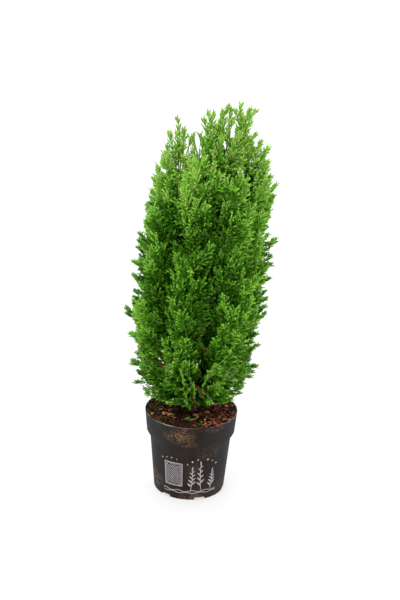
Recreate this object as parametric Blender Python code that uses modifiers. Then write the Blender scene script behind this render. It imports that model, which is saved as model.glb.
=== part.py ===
"""Young column-shaped cypress with feathery foliage, in a round thin-walled nursery pot.

Lengths are in metres, with +Z up. The origin is the centre of the pot's flat underside, and the
front of the plant faces -Y. Azimuths are in degrees, counted from the front towards +X.
"""
import math
import random

import bmesh
import bpy
from mathutils import Matrix, Vector

MM = 0.001
CLEAR = 0.3 * MM              # gap kept between solids that touch on the real plant
MERGE = 0.00001               # weld distance, small enough for the thinnest twig

# The pot: a tapered body, a sloping shoulder and a wide band under the rim.
POT_HEIGHT = 110 * MM
RIM_RADIUS = 60 * MM
BAND_RADIUS = 57.4 * MM
BAND_FOOT = 82.5 * MM
SHOULDER_RADIUS = 52.6 * MM
SHOULDER_FOOT = 74.2 * MM
BASE_RADIUS = 46.1 * MM
BASE_ROUNDING = 2.4 * MM
LIP_ROUNDING = 0.5 * MM
WALL = 1.3 * MM
FLOOR = 2.0 * MM
POT_SIDES = 36

# Drain notches round the edge of the base.
NOTCH_COUNT = 6
NOTCH_FIRST = 19.5
NOTCH_WIDTH = 15 * MM
NOTCH_HEIGHT = 3.8 * MM
NOTCH_DEPTH = 9 * MM

# The potting mix and the bark chips that lie on it.
MIX_EDGE_HEIGHT = 105.4 * MM
MIX_TOP = 106 * MM
MIX_FLAT_RADIUS = 11 * MM
MIX_SIDES = 24
CHIP_COUNT = 18
CHIP_LENGTH = (7 * MM, 13 * MM)
CHIP_WIDTH = (4 * MM, 7 * MM)
CHIP_THICKNESS = 2.6 * MM
CHIP_RING = (17 * MM, 50 * MM)
CHIP_TILT = 0.22              # radians
CHIP_LIFT = 0.3 * MM
MIX_SWELL = 0.2 * MM          # rise of the mix over a straight slope, at this share of its width
MIX_SWELL_AT = 0.62

# The trunk runs from its flat cut on the mix to its tip under the topmost plume.
TRUNK_FOOT = MIX_TOP + CLEAR
TRUNK_TIP = Vector((36 * MM, -3 * MM, 436 * MM))
TRUNK_BEND = Vector((-6 * MM, 2 * MM, 300 * MM))
TRUNK_RADIUS = 4.6 * MM
TRUNK_TIP_RADIUS = 0.9 * MM
FLARE_RADIUS = 3.4 * MM
FLARE_HEIGHT = 7 * MM
TRUNK_RINGS = 16
FOOT_STEPS = tuple(step * MM for step in (0, 3, 7, 13))  # closer rings up the flare
LIMB_SAMPLES = 24             # stretches of the trunk's line that foliage keeps clear of

# Boughs taper from the trunk to the place where they enter their mass of foliage.
BOUGH_RADIUS = 1.9 * MM
STEM_RADIUS = 1.3 * MM
STEM_TIP_RADIUS = 0.5 * MM
BOUGH_RINGS = 5
SHORTEST_BOUGH = 0.12         # share of its line under which a mass's stem meets the trunk
STEM_RINGS = 6

# The crown's outline: height, centre across, and half the width there.
CROWN = (
    (111 * MM, 0 * MM, 46 * MM),
    (124 * MM, -1 * MM, 60 * MM),
    (165 * MM, 0 * MM, 73 * MM),
    (245 * MM, 0 * MM, 88 * MM),
    (330 * MM, 12 * MM, 84 * MM),
    (400 * MM, 16 * MM, 78 * MM),
    (455 * MM, 19 * MM, 66 * MM),
    (500 * MM, 19 * MM, 55 * MM),
    (524 * MM, 40 * MM, 34 * MM),
)
CROWN_DEPTH = 0.93            # depth of the crown against its width
FOLIAGE_FLOOR = 112 * MM      # the crown's underside at the trunk
FLOOR_RISE = 0.385            # how that underside rises with distance from the trunk

# Two tiers of masses stand round the trunk. Each has its own azimuths, and heights of root,
# heart and tip in millimetres.
TIERS = {
    "low": {
        "azimuths": (-20, 42, 100, 160, 220, 280),
        "roots": (120, 127, 121, 128, 120, 126),
        "hearts": (300, 280, 306, 284, 304, 312),
        "tips": (370, 348, 378, 352, 374, 386),
        "reach": 0.68,
        "drop": 0.13,
    },
    "high": {
        "azimuths": (-17, 38, 86, 146, 206),
        "roots": (196, 214, 184, 222, 204),
        "hearts": (410, 392, 416, 394, 412),
        "tips": (456, 432, 464, 446, 464),
        "reach": 0.72,
        "drop": 0.40,
    },
}
SIDES = {
    "low": ("front", "front_right", "right", "back", "back_left", "left"),
    "high": ("front", "front_right", "right", "back", "back_left"),
}

# The leaders that stand above the tiers: height of root and heart, and the tip.
LEADERS = {
    "left_leader": (232, 446, Vector((-30, -5, 497)) * MM),
    "middle_leader": (320, 466, Vector((12, 2, 506)) * MM),
}
TOP_TIP = Vector((49, -4, 518)) * MM
TOP_HEART = 482 * MM
PLUME_GIRTH = 50 * MM         # widest that a leader's plume grows from its stem
PLUME_TIP_GIRTH = 6 * MM
PLUME_POINT = 90 * MM         # length over which it narrows to its tip
PLUME_SAMPLES = 12
LEADER_DROP = 0.5
TIER_BEND = 0.8               # how far out a bough's bend lies, as a share of its tip's reach

# Sprigs that reach the crown's furthest points, each grown in the mass that holds it.
FAR_SPRIGS = tuple(Vector(spot) * MM for spot in (
    (66, -5, 508), (33, 0, 511), (-35, -5, 474), (83, 0, 459), (93, 0, 414), (-61, 2, 400),
    (94, 2, 342), (-88, 0, 247), (87, 3, 244), (-76, 4, 170), (80, 2, 180),
    (16, 8, 500), (-2, 14, 470), (67, -16, 484), (38, -14, 498), (-8, -4, 475), (-42, 4, 450),
    (70, 8, 466), (88, 0, 426), (24, 22, 478), (50, 20, 474), (22, -20, 474),
))

# How twigs and sprays grow. Most are led to points spread evenly on the crown's outline.
GOLDEN_ANGLE = math.radians(137.5)
OUTLINE_SPRAYS = 90
OUTLINE_RANGE = (128 * MM, 452 * MM)
OUTLINE_SHARE = (0.90, 1.0)   # how much of the outline's width the sprays reach
INNER_SPRAYS = 26
INNER_RANGE = (255 * MM, 425 * MM)
INNER_SHARE = (0.10, 0.60)
VALLEY_DEPTH = 0.22           # share of the outline's width lost where two masses meet
VALLEY_WIDTH = 11 * MM
LEANS = (                     # height, and a spray's lean off the vertical in degrees there
    (115 * MM, 74),
    (150 * MM, 54),
    (195 * MM, 38),
    (260 * MM, 28),
    (520 * MM, 16),
)
LEAN_PRICE = 80 * MM          # length of twig that a radian of wrong lean counts for
TWIG_RADIUS = 0.9 * MM
TWIG_SHORTEST = 6 * MM
TWIG_PITCH = 15 * MM
TWIG_SPREAD = 34              # degrees off a leader's stem
SPRAY_LENGTH = (48 * MM, 64 * MM)
SPRAY_SHORTEST = 24 * MM
FINE_ABOVE = 300 * MM         # sprays rooted above this have three tiers, the others two
SPRAY_GIRTH = 0.195           # radius of a spray against its length
SPRAY_SINK = 2.5 * MM         # how deep a spray's root sits in its twig
TIP_SPRAY = 42 * MM           # the spray that ends a mass's stem
SHRINKS = (1.0, 0.84, 0.68, 0.54)  # sizes tried before a spray is skipped
ROLLS = 4                     # turns tried at each size
CORE_LENGTH = 92 * MM         # the dense heart of a mass is a row of fat sprays of this length
CORE_PITCH = 56 * MM
CORE_GIRTH = 29 * MM
CORE_POINTS = 4
CORE_TIERS = 3
REACH_LIMIT = 90 * MM         # furthest that a leader's twigs look for the edge of its shape
STEM_END = 0.97               # share of a mass's line where its stem stops inside the last spray
STRETCH = 0.5                 # heights count for this much when space is shared out
CELL_MARGIN = 0.2 * MM
STEM_SAMPLES = 40             # places on a stem where a branch may start
LINE_STEP = 3 * MM            # spacing of the points that are tested along twigs and sprays
MIX_SEED = 7
GROWTH_SEED = 40
MASS_SEED = 100

COLOURS = {
    "pot_plastic": ((0.030, 0.031, 0.036), 0.42),
    "potting_mix": ((0.085, 0.035, 0.020), 0.95),
    "bark": ((0.160, 0.090, 0.055), 0.85),
    "foliage": ((0.110, 0.290, 0.045), 0.60),
}


def material(name):
    """Return the named finish, made the first time it is asked for."""
    found = bpy.data.materials.get(name)
    if found:
        return found
    colour, roughness = COLOURS[name]
    made = bpy.data.materials.new(name)
    made.use_nodes = True
    shader = made.node_tree.nodes["Principled BSDF"]
    shader.inputs["Base Color"].default_value = (*colour, 1.0)
    shader.inputs["Roughness"].default_value = roughness
    shader.inputs["Metallic"].default_value = 0.0
    return made


def add_object(name, mesh, collection, finish=None):
    """Link a new object for a mesh and give it its finish."""
    made = bpy.data.objects.new(name, mesh)
    collection.objects.link(made)
    if finish:
        mesh.materials.clear()
        mesh.materials.append(material(finish))
    return made


def mesh_from(shape, name="shape"):
    """Turn a bmesh into a mesh with its faces pointing out."""
    bmesh.ops.recalc_face_normals(shape, faces=shape.faces)
    made = bpy.data.meshes.new(name)
    shape.to_mesh(made)
    shape.free()
    return made


def evaluated_mesh(source):
    """Return the mesh that an object's modifiers or curve settings make."""
    graph = bpy.context.evaluated_depsgraph_get()
    graph.update()
    return bpy.data.meshes.new_from_object(source.evaluated_get(graph))


def largest_body(mesh):
    """Keep only the outer skin of the largest body: scraps and sealed hollows go."""
    shape = bmesh.new()
    shape.from_mesh(mesh)
    bmesh.ops.triangulate(shape, faces=shape.faces)
    unseen = set(shape.faces)
    groups = []
    while unseen:
        stack = [unseen.pop()]
        group = []
        while stack:
            face = stack.pop()
            group.append(face)
            for edge in face.edges:
                for other in edge.link_faces:
                    if other in unseen:
                        unseen.remove(other)
                        stack.append(other)
        groups.append(group)
    groups.sort(key=len)
    scraps = [face for group in groups[:-1] for face in group]
    bmesh.ops.delete(shape, geom=scraps, context="FACES")
    bmesh.ops.delete(shape, geom=[v for v in shape.verts if not v.link_faces], context="VERTS")
    shape.to_mesh(mesh)
    shape.free()
    return mesh


def boolean(target, operation, other, solver="EXACT"):
    """Join or cut target with one object, or with all the objects of a collection."""
    step = target.modifiers.new(operation.title(), "BOOLEAN")
    step.operation = operation
    step.solver = solver
    if isinstance(other, bpy.types.Collection):
        step.operand_type = "COLLECTION"
        step.collection = other
    else:
        step.object = other
    result = evaluated_mesh(target)
    target.modifiers.clear()
    target.data = result


def clear_collection(collection):
    """Remove a collection with its objects."""
    for item in list(collection.objects):
        bpy.data.objects.remove(item, do_unlink=True)
    bpy.data.collections.remove(collection)


def turned(name, profile, sides, collection, finish):
    """Turn a profile of (radius, height) points, top first, about the Z axis."""
    line = bpy.data.meshes.new(name)
    points = [(radius, 0.0, height) for radius, height in profile]
    line.from_pydata(points, [(i, i + 1) for i in range(len(points) - 1)], [])
    made = add_object(name, line, collection, finish)
    screw = made.modifiers.new("Turn", "SCREW")
    screw.steps = sides
    screw.render_steps = sides
    screw.use_merge_vertices = True
    screw.merge_threshold = MERGE
    made.data = evaluated_mesh(made)
    made.modifiers.clear()
    return made


def limb_mesh(points, radii, sides_setting):
    """A tapering limb as a bevelled curve, turned into a mesh with welded caps."""
    curve = bpy.data.curves.new("limb", "CURVE")
    curve.dimensions = "3D"
    curve.bevel_depth = 1.0
    curve.bevel_resolution = sides_setting
    curve.use_fill_caps = True
    line = curve.splines.new("POLY")
    line.points.add(len(points) - 1)
    for node, point, radius in zip(line.points, points, radii):
        node.co = (*point, 1.0)
        node.radius = radius
    holder = bpy.data.objects.new("limb", curve)
    bpy.context.scene.collection.objects.link(holder)
    made = evaluated_mesh(holder)
    bpy.data.objects.remove(holder, do_unlink=True)
    bpy.data.curves.remove(curve)
    shape = bmesh.new()
    shape.from_mesh(made)
    bmesh.ops.remove_doubles(shape, verts=shape.verts, dist=MERGE)
    bpy.data.meshes.remove(made)
    return mesh_from(shape, "limb")


def parallel(profile, distance):
    """Offset a (radius, height) profile inwards, with mitred corners."""
    normals = []
    for (r0, z0), (r1, z1) in zip(profile, profile[1:]):
        length = math.hypot(r1 - r0, z1 - z0)
        normals.append(Vector(((z1 - z0) / length, (r0 - r1) / length)))
    moved = []
    for index, (radius, height) in enumerate(profile):
        before = normals[max(index - 1, 0)]
        after = normals[min(index, len(normals) - 1)]
        mitre = (before + after) / (1.0 + before.dot(after))
        moved.append((radius + mitre.x * distance, height + mitre.y * distance))
    return moved


def pot_outside():
    """The pot's outer wall from the rim down to the start of the base's rounding."""
    return [
        (RIM_RADIUS, POT_HEIGHT),
        (BAND_RADIUS, BAND_FOOT),
        (SHOULDER_RADIUS, SHOULDER_FOOT),
        (BASE_RADIUS, BASE_ROUNDING),
    ]


def build_pot(parts, cutters):
    """The thin-walled pot with its drain notches."""
    outside = pot_outside()
    inside = parallel(outside, WALL)
    rim_inside = (inside[0][0], POT_HEIGHT)
    lip = [
        (rim_inside[0], POT_HEIGHT - LIP_ROUNDING),
        (rim_inside[0] + LIP_ROUNDING, POT_HEIGHT),
        (RIM_RADIUS - LIP_ROUNDING, POT_HEIGHT),
        (RIM_RADIUS, POT_HEIGHT - LIP_ROUNDING),
    ]
    corner = [
        (
            BASE_RADIUS - BASE_ROUNDING * (1 - math.cos(math.radians(angle))),
            BASE_ROUNDING * (1 - math.sin(math.radians(angle))),
        )
        for angle in (30, 60, 90)
    ]
    foot_inside = inside[-1][0]
    outer = lip + outside[1:] + corner + [(0.0, 0.0)]
    inner = [(0.0, FLOOR), (foot_inside - FLOOR, FLOOR), (foot_inside, 2 * FLOOR)]
    inner += list(reversed(inside[1:-1])) + [lip[0]]
    # The inner skin is turned with the outer one, as one closed profile.
    pot = turned("pot", inner[:-1] + outer, POT_SIDES, parts, "pot_plastic")
    for index in range(NOTCH_COUNT):
        angle = math.radians(NOTCH_FIRST + index * 360 / NOTCH_COUNT)
        outwards = Vector((math.sin(angle), -math.cos(angle), 0.0))
        shape = bmesh.new()
        bmesh.ops.create_cube(shape, size=1.0)
        bmesh.ops.scale(
            shape, verts=shape.verts, vec=(NOTCH_WIDTH, NOTCH_DEPTH * 2, NOTCH_HEIGHT * 2)
        )
        cutter = add_object(f"notch_{index}", mesh_from(shape), cutters)
        cutter.location = outwards * BASE_RADIUS
        cutter.rotation_euler.z = angle
        cutter.hide_render = True
        cutter.display_type = "WIRE"
    notch = pot.modifiers.new("Notches", "BOOLEAN")
    notch.operation = "DIFFERENCE"
    notch.operand_type = "COLLECTION"
    notch.collection = cutters
    return pot


def build_mix(parts, rng):
    """The potting mix that fills the pot, with bark chips lying on it."""
    walls = parallel(pot_outside(), WALL + CLEAR)
    share = (POT_HEIGHT - MIX_EDGE_HEIGHT) / (POT_HEIGHT - BAND_FOOT)
    edge = walls[0][0] + (walls[1][0] - walls[0][0]) * share
    foot = walls[-1][0]
    profile = [
        (0.0, MIX_TOP),
        (MIX_FLAT_RADIUS, MIX_TOP),
        (edge * MIX_SWELL_AT, (MIX_TOP + MIX_EDGE_HEIGHT) / 2 + MIX_SWELL),
        (edge, MIX_EDGE_HEIGHT),
        *walls[1:-1],
        (foot, 2 * FLOOR + CLEAR),
        (foot - FLOOR, FLOOR + CLEAR),
        (0.0, FLOOR + CLEAR),
    ]
    mix = turned("potting_mix", profile, MIX_SIDES, parts, "potting_mix")
    chips = bpy.data.collections.new("chips")
    bpy.context.scene.collection.children.link(chips)
    for index in range(CHIP_COUNT):
        spot = (index + 0.5) / CHIP_COUNT
        radius = math.sqrt(
            CHIP_RING[0] ** 2 + (CHIP_RING[1] ** 2 - CHIP_RING[0] ** 2) * spot
        )
        angle = index * GOLDEN_ANGLE + rng.uniform(-0.2, 0.2)
        height = MIX_TOP - (MIX_TOP - MIX_EDGE_HEIGHT) * (radius / edge) ** 2
        shape = bmesh.new()
        bmesh.ops.create_cube(shape, size=1.0)
        size = (rng.uniform(*CHIP_LENGTH), rng.uniform(*CHIP_WIDTH), CHIP_THICKNESS)
        bmesh.ops.scale(shape, verts=shape.verts, vec=size)
        chip = add_object(f"chip_{index}", mesh_from(shape), chips)
        chip.location = (radius * math.cos(angle), radius * math.sin(angle), height + CHIP_LIFT)
        chip.rotation_euler = (
            rng.uniform(-CHIP_TILT, CHIP_TILT), rng.uniform(-CHIP_TILT, CHIP_TILT),
            rng.uniform(0, math.pi),
        )
    boolean(mix, "UNION", chips)
    mix.data = largest_body(mix.data)
    clear_collection(chips)
    return mix


def bezier(start, bend, end, share):
    """Point on a quadratic curve."""
    back = 1.0 - share
    return start * back * back + bend * (2 * back * share) + end * share * share


def trunk_point(share):
    """Point on the trunk's centre line, from 0 at the mix to 1 at its tip."""
    return bezier(Vector((0, 0, TRUNK_FOOT)), TRUNK_BEND, TRUNK_TIP, share)


def trunk_at(height):
    """Share of the trunk's line at which it passes a height."""
    low, high = 0.0, 1.0
    for _ in range(30):
        middle = (low + high) / 2
        if trunk_point(middle).z < height:
            low = middle
        else:
            high = middle
    return low


def trunk_radius(share):
    """Taper along the trunk, with the flare at its foot."""
    rise = trunk_point(share).z - TRUNK_FOOT
    flare = FLARE_RADIUS * math.exp(-rise / FLARE_HEIGHT)
    return TRUNK_RADIUS + (TRUNK_TIP_RADIUS - TRUNK_RADIUS) * share + flare


def trunk_mesh(extra=0.0):
    """The trunk's mesh, or the same grown by extra on every side to cut with."""
    shares = [0.0] + [trunk_at(TRUNK_FOOT + step) for step in FOOT_STEPS[1:]]
    count = TRUNK_RINGS - len(FOOT_STEPS)
    shares += [shares[-1] + (1 - shares[-1]) * (i + 1) / count for i in range(count)]
    points = [trunk_point(share) for share in shares]
    points[1].x, points[1].y = points[0].x, points[0].y
    radii = [trunk_radius(share) + extra for share in shares]
    return limb_mesh(points, radii, 2)


def crown_at(height):
    """Centre across and half the width of the crown at a height."""
    for (z0, c0, w0), (z1, c1, w1) in zip(CROWN, CROWN[1:]):
        if height <= z1:
            share = max(0.0, (height - z0) / (z1 - z0))
            return c0 + (c1 - c0) * share, w0 + (w1 - w0) * share
    return CROWN[-1][1], CROWN[-1][2]


def in_crown(point):
    """Whether a point lies inside the crown's outline."""
    floor = FOLIAGE_FLOOR + FLOOR_RISE * math.hypot(point.x, point.y)
    if not floor <= point.z <= CROWN[-1][0]:
        return False
    centre, width = crown_at(point.z)
    across = (point.x - centre) / width
    along = point.y / (width * CROWN_DEPTH)
    return across * across + along * along <= 1.0


class Plume:
    """One mass of foliage: the line of its bough and stem, its girth and its own space."""

    def __init__(self, name, root_share, tip, drop, heart):
        self.name = name
        self.root = trunk_point(root_share)
        self.tip = tip
        rise = tip.z - self.root.z
        sideways = Vector((tip.x - self.root.x, tip.y - self.root.y, 0.0))
        self.bend = self.root + sideways * TIER_BEND + Vector((0, 0, rise * drop))
        self.site = self.point(self.share_at(heart))
        self.planes = []
        self.entry = 0.0

    def point(self, share):
        return bezier(self.root, self.bend, self.tip, share)

    def share_at(self, height):
        """Share of the line at which it passes a height."""
        return min((i / 60 for i in range(61)), key=lambda s: abs(self.point(s).z - height))

    def slope(self, share):
        """Change of the line's point with its share."""
        near, far = self.bend - self.root, self.tip - self.bend
        return (near * (1.0 - share) + far * share) * 2.0

    def direction(self, share):
        return self.slope(share).normalized()

    def share_out(self, others):
        """Settle the planes between this mass's space and the others'."""
        def squashed(point):
            return Vector((point.x, point.y, point.z * STRETCH))
        here = squashed(self.site)
        for other in others:
            if other is self:
                continue
            there = squashed(other.site)
            normal = (there - here).normalized()
            self.planes.append((normal, normal.dot((here + there) / 2) - CELL_MARGIN))

    def room(self, point):
        """Distance of a point from the edge of this mass's space, negative outside."""
        flat = Vector((point.x, point.y, point.z * STRETCH))
        return min(limit - normal.dot(flat) for normal, limit in self.planes)

    def in_cell(self, point):
        return self.room(point) >= 0.0

    def radius_at(self, share):
        """The plume's own girth, which narrows to a point at its tip."""
        to_tip = (self.tip - self.point(share)).length
        return PLUME_TIP_GIRTH + PLUME_GIRTH * min(1.0, to_tip / PLUME_POINT) ** 0.75

    def in_plume(self, point):
        for step in range(PLUME_SAMPLES + 1):
            share = self.entry + (1 - self.entry) * step / PLUME_SAMPLES
            if (point - self.point(share)).length <= self.radius_at(share):
                return True
        return False

    def holds(self, point):
        return self.in_cell(point) and in_crown(point) and self.in_plume(point)

    def find_entry(self):
        """The bough ends where its line enters the mass's own space."""
        shares = [step / 100 for step in range(4, 70)]
        outside = [share for share in shares if not self.in_cell(self.point(share))]
        self.entry = max(outside) + 0.02 if outside else 0.0

    def has_bough(self):
        return self.entry > SHORTEST_BOUGH


class Limb:
    """A limb's line as short stretches with radii, for keeping foliage clear of it."""

    def __init__(self, points, radii):
        self.stretches = list(zip(points, points[1:], radii, radii[1:]))

    def gap(self, point):
        nearest = 1.0
        for a, b, ra, rb in self.stretches:
            line = b - a
            share = max(0.0, min(1.0, (point - a).dot(line) / line.length_squared))
            away = (point - (a + line * share)).length - (ra + (rb - ra) * share)
            nearest = min(nearest, away)
        return nearest


def frame_along(direction, roll):
    """Rotation that turns +Z to a direction, then rolls about it."""
    turn = Vector((0, 0, 1)).rotation_difference(direction).to_matrix()
    return (turn @ Matrix.Rotation(roll, 3, "Z")).to_4x4()


def spray_rings(length, girth, tiers):
    """Rings of a spray as (radius, height, turned): tiers of points that open towards the tip."""
    rings = [(max(0.6 * MM, girth * 0.14), 0.0, True)]
    for tier in range(tiers):
        share = tier / tiers
        swell = 1.0 - 0.42 * share ** 1.5
        foot = length * (0.06 + 0.80 * share)
        rise = length * 0.80 / tiers
        rings.append((girth * swell, foot + rise * 1.10, False))
        if tier < tiers - 1:
            rings.append((girth * 0.30 * swell, foot + rise * 0.62, True))
    return rings


def spray_points(length, girth, tiers, points):
    """A spray's corners, up +Z, ring by ring, with its tip last."""
    corners = []
    for radius, height, turned_ring in spray_rings(length, girth, tiers):
        for corner in range(points):
            angle = 2 * math.pi * (corner + (0.5 if turned_ring else 0.0)) / points
            corners.append(Vector((radius * math.cos(angle), radius * math.sin(angle), height)))
    corners.append(Vector((0, 0, length)))
    return corners


def spray_mesh(length, girth, tiers, points):
    """Feathery spray: a slim core with rows of pointed shoots round it, and a pointed tip."""
    shape = bmesh.new()
    corners = [shape.verts.new(spot) for spot in spray_points(length, girth, tiers, points)]
    rings = [corners[i:i + points] for i in range(0, len(corners) - 1, points)]
    shape.faces.new(rings[0])
    for index, (low, high) in enumerate(zip(rings, rings[1:])):
        ahead = 1 if index % 2 == 0 else 0
        for k in range(points):
            first, second = low[k], low[(k + 1) % points]
            above, beside = high[(k + ahead) % points], high[(k + ahead + 1) % points]
            shape.faces.new((first, second, above))
            shape.faces.new((above, second, beside))
    for k in range(points):
        shape.faces.new((rings[-1][k], rings[-1][(k + 1) % points], corners[-1]))
    bmesh.ops.triangulate(shape, faces=shape.faces)
    return mesh_from(shape)


def twig_mesh(length, radius_foot, radius_tip):
    """A straight three-sided twig up +Z."""
    shape = bmesh.new()
    bmesh.ops.create_cone(
        shape, cap_ends=True, segments=3, radius1=radius_foot, radius2=radius_tip, depth=length
    )
    bmesh.ops.translate(shape, verts=shape.verts, vec=(0, 0, length / 2))
    return mesh_from(shape)


class Grower:
    """Grows one mass: puts twigs and sprays on its stem, and skips what doesn't fit."""

    def __init__(self, plume, limbs, rng):
        self.plume = plume
        self.limbs = limbs
        self.rng = rng
        self.pieces = bpy.data.collections.new(f"{plume.name}_pieces")
        bpy.context.scene.collection.children.link(self.pieces)

    def clear_of_limbs(self, point, room):
        return all(limb.gap(point) > room + CLEAR for limb in self.limbs)

    def fits(self, place, size, radius, tiers, points, line):
        """Whether a spray stays in the mass's space and clear of the limbs."""
        corners = [place @ spot for spot in spray_points(size, radius, tiers, points)]
        if not all(self.plume.in_cell(spot) and in_crown(spot) for spot in corners):
            return False
        return all(self.clear_of_limbs(spot, radius) for spot in line)

    def add_spray(self, base, direction, length, tiers, girth=None, points=3):
        """Fuse on a spray with its root sunk in, at the largest size that fits."""
        width = girth or length * SPRAY_GIRTH * self.rng.uniform(0.9, 1.15)
        first_roll = self.rng.uniform(0, 2 * math.pi)
        for shrink in SHRINKS:
            size, radius = length * shrink, width * shrink
            steps = max(3, int(size / LINE_STEP))
            line = [base + direction * (size - SPRAY_SINK) * i / steps for i in range(steps + 1)]
            for turn in range(ROLLS):
                roll = first_roll + 2 * math.pi * turn / (points * ROLLS)
                place = Matrix.Translation(base - direction * SPRAY_SINK)
                place = place @ frame_along(direction, roll)
                if self.fits(place, size, radius, tiers, points, line):
                    piece = add_object("spray", spray_mesh(size, radius, tiers, points), self.pieces)
                    piece.matrix_world = place
                    return

    def add_twig(self, base, direction, length):
        """Fuse on a twig that leads to a spray."""
        steps = max(2, int(length / LINE_STEP))
        line = [base + direction * length * i / steps for i in range(steps + 1)]
        if not all(self.plume.in_cell(point) for point in line):
            return False
        if not all(self.clear_of_limbs(point, TWIG_RADIUS) for point in line):
            return False
        piece = add_object("twig", twig_mesh(length, TWIG_RADIUS, TWIG_RADIUS * 0.8), self.pieces)
        piece.matrix_world = Matrix.Translation(base) @ frame_along(direction, 0.0)
        return True

    def add_branch(self, base, direction, room):
        """A spray whose tip lies at a distance, led there by a twig where that is far."""
        spray = min(self.rng.uniform(*SPRAY_LENGTH), room + SPRAY_SINK)
        if spray < SPRAY_SHORTEST:
            return
        tiers = 3 if spray > SPRAY_LENGTH[0] and base.z > FINE_ABOVE else 2
        twig = room + SPRAY_SINK - spray
        if twig < TWIG_SHORTEST:
            self.add_spray(base, direction, spray, tiers)
        elif self.add_twig(base, direction, twig):
            self.add_spray(base + direction * twig, direction, spray, tiers)

    def lead_to(self, target):
        """Grow a branch from the best place on the stem to a point."""
        plume = self.plume
        wanted = lean_at(target.z)
        best, cost = None, 1.0
        for step in range(3, STEM_SAMPLES - 1):
            share = plume.entry + (STEM_END - plume.entry) * step / STEM_SAMPLES
            way = target - plume.point(share)
            tilt = way.angle(Vector((0, 0, 1)))
            price = way.length + abs(tilt - wanted) * LEAN_PRICE
            if price < cost:
                best, cost = share, price
        base = plume.point(best)
        way = target - base
        self.add_branch(base, way.normalized(), way.length)

    def add_round(self, share, azimuth):
        """Grow a branch round the stem of a leader, as far as the plume's own shape."""
        plume = self.plume
        along = plume.direction(share)
        side = along.orthogonal().normalized()
        side.rotate(Matrix.Rotation(azimuth, 3, along))
        spread = math.radians(TWIG_SPREAD + self.rng.uniform(-6, 6))
        direction = (along * math.cos(spread) + side * math.sin(spread)).normalized()
        base = plume.point(share)
        room = LINE_STEP
        while plume.holds(base + direction * room) and room < REACH_LIMIT:
            room += LINE_STEP
        self.add_branch(base, direction, room - LINE_STEP)

    def grow(self, parts, stem_shares, targets, trunk_cutter):
        """Grow the whole mass and fuse it into one solid."""
        plume = self.plume
        points = [plume.point(share) for share in stem_shares]
        radii = [
            STEM_RADIUS + (STEM_TIP_RADIUS - STEM_RADIUS) * i / (len(points) - 1)
            for i in range(len(points))
        ]
        name = f"foliage_{plume.name}"
        mass = add_object(name, limb_mesh(points, radii, 0), parts)
        tip_way = plume.direction(1.0)
        self.add_spray(plume.tip - tip_way * TIP_SPRAY, tip_way, TIP_SPRAY + SPRAY_SINK, 3)
        first, last = stem_shares[0], stem_shares[-1]
        length = sum((b - a).length for a, b in zip(points, points[1:]))
        for target in targets:
            self.lead_to(target)
        turn = self.rng.uniform(0, 2 * math.pi)
        count = int(length / TWIG_PITCH)
        for index in range(count):
            share = first + (last - first) * (0.03 + 0.90 * (index + 0.5) / count)
            if plume.point(share).z > OUTLINE_RANGE[1] - SPRAY_LENGTH[0]:
                self.add_round(share, turn + index * GOLDEN_ANGLE)
        cores = max(1, round(length / CORE_PITCH))
        for index in range(cores):
            share = first + (last - first) * (index + 0.25) / cores
            self.add_spray(
                plume.point(share), plume.direction(min(share + 0.1, 0.98)),
                CORE_LENGTH, CORE_TIERS, CORE_GIRTH, CORE_POINTS,
            )
        boolean(mass, "UNION", self.pieces, "MANIFOLD")
        clear_collection(self.pieces)
        if trunk_cutter:
            boolean(mass, "DIFFERENCE", trunk_cutter, "MANIFOLD")
        mass.data = largest_body(mass.data)
        mass.data.materials.clear()
        mass.data.materials.append(material("foliage"))
        return mass


def make_plumes():
    """All the masses, tier by tier, and the leaders above them."""
    plumes = []
    for tier, rule in TIERS.items():
        for side, azimuth, root, heart, tip in zip(
            SIDES[tier], rule["azimuths"], rule["roots"], rule["hearts"], rule["tips"]
        ):
            centre, width = crown_at(tip * MM)
            angle = math.radians(azimuth)
            out = width * rule["reach"]
            place = Vector((
                centre + out * math.sin(angle), -out * CROWN_DEPTH * math.cos(angle), tip * MM
            ))
            name = f"{tier}_{side}"
            plumes.append(Plume(name, trunk_at(root * MM), place, rule["drop"], heart * MM))
    for name, (root, heart, tip) in LEADERS.items():
        plumes.append(Plume(name, trunk_at(root * MM), tip, LEADER_DROP, heart * MM))
    top = Plume("top", 1.0, TOP_TIP, LEADER_DROP, TOP_HEART)
    top.bend = (top.root + top.tip) / 2
    plumes.append(top)
    for plume in plumes:
        plume.share_out(plumes)
    for plume in plumes[:-1]:
        plume.find_entry()
    return plumes


def lean_at(height):
    """The lean off the vertical that sprays have at a height, in radians."""
    for (z0, lean0), (z1, lean1) in zip(LEANS, LEANS[1:]):
        if height <= z1:
            share = max(0.0, (height - z0) / (z1 - z0))
            return math.radians(lean0 + (lean1 - lean0) * share)
    return math.radians(LEANS[-1][1])


def spread_targets(plumes, count, heights, shares, rng):
    """Points spread evenly round the crown, drawn in where two masses meet."""
    targets = []
    for index in range(count):
        height = heights[0] + (heights[1] - heights[0]) * (index + 0.5) / count
        angle = index * GOLDEN_ANGLE
        centre, width = crown_at(height)
        out = width * rng.uniform(*shares)
        ray = Vector((math.cos(angle), CROWN_DEPTH * math.sin(angle), 0.0))
        spot = Vector((centre, 0.0, height))
        room = max(plume.room(spot + ray * out) for plume in plumes)
        out *= 1.0 - VALLEY_DEPTH * math.exp(-((room / VALLEY_WIDTH) ** 2))
        targets.append(spot + ray * out)
    return targets


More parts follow.
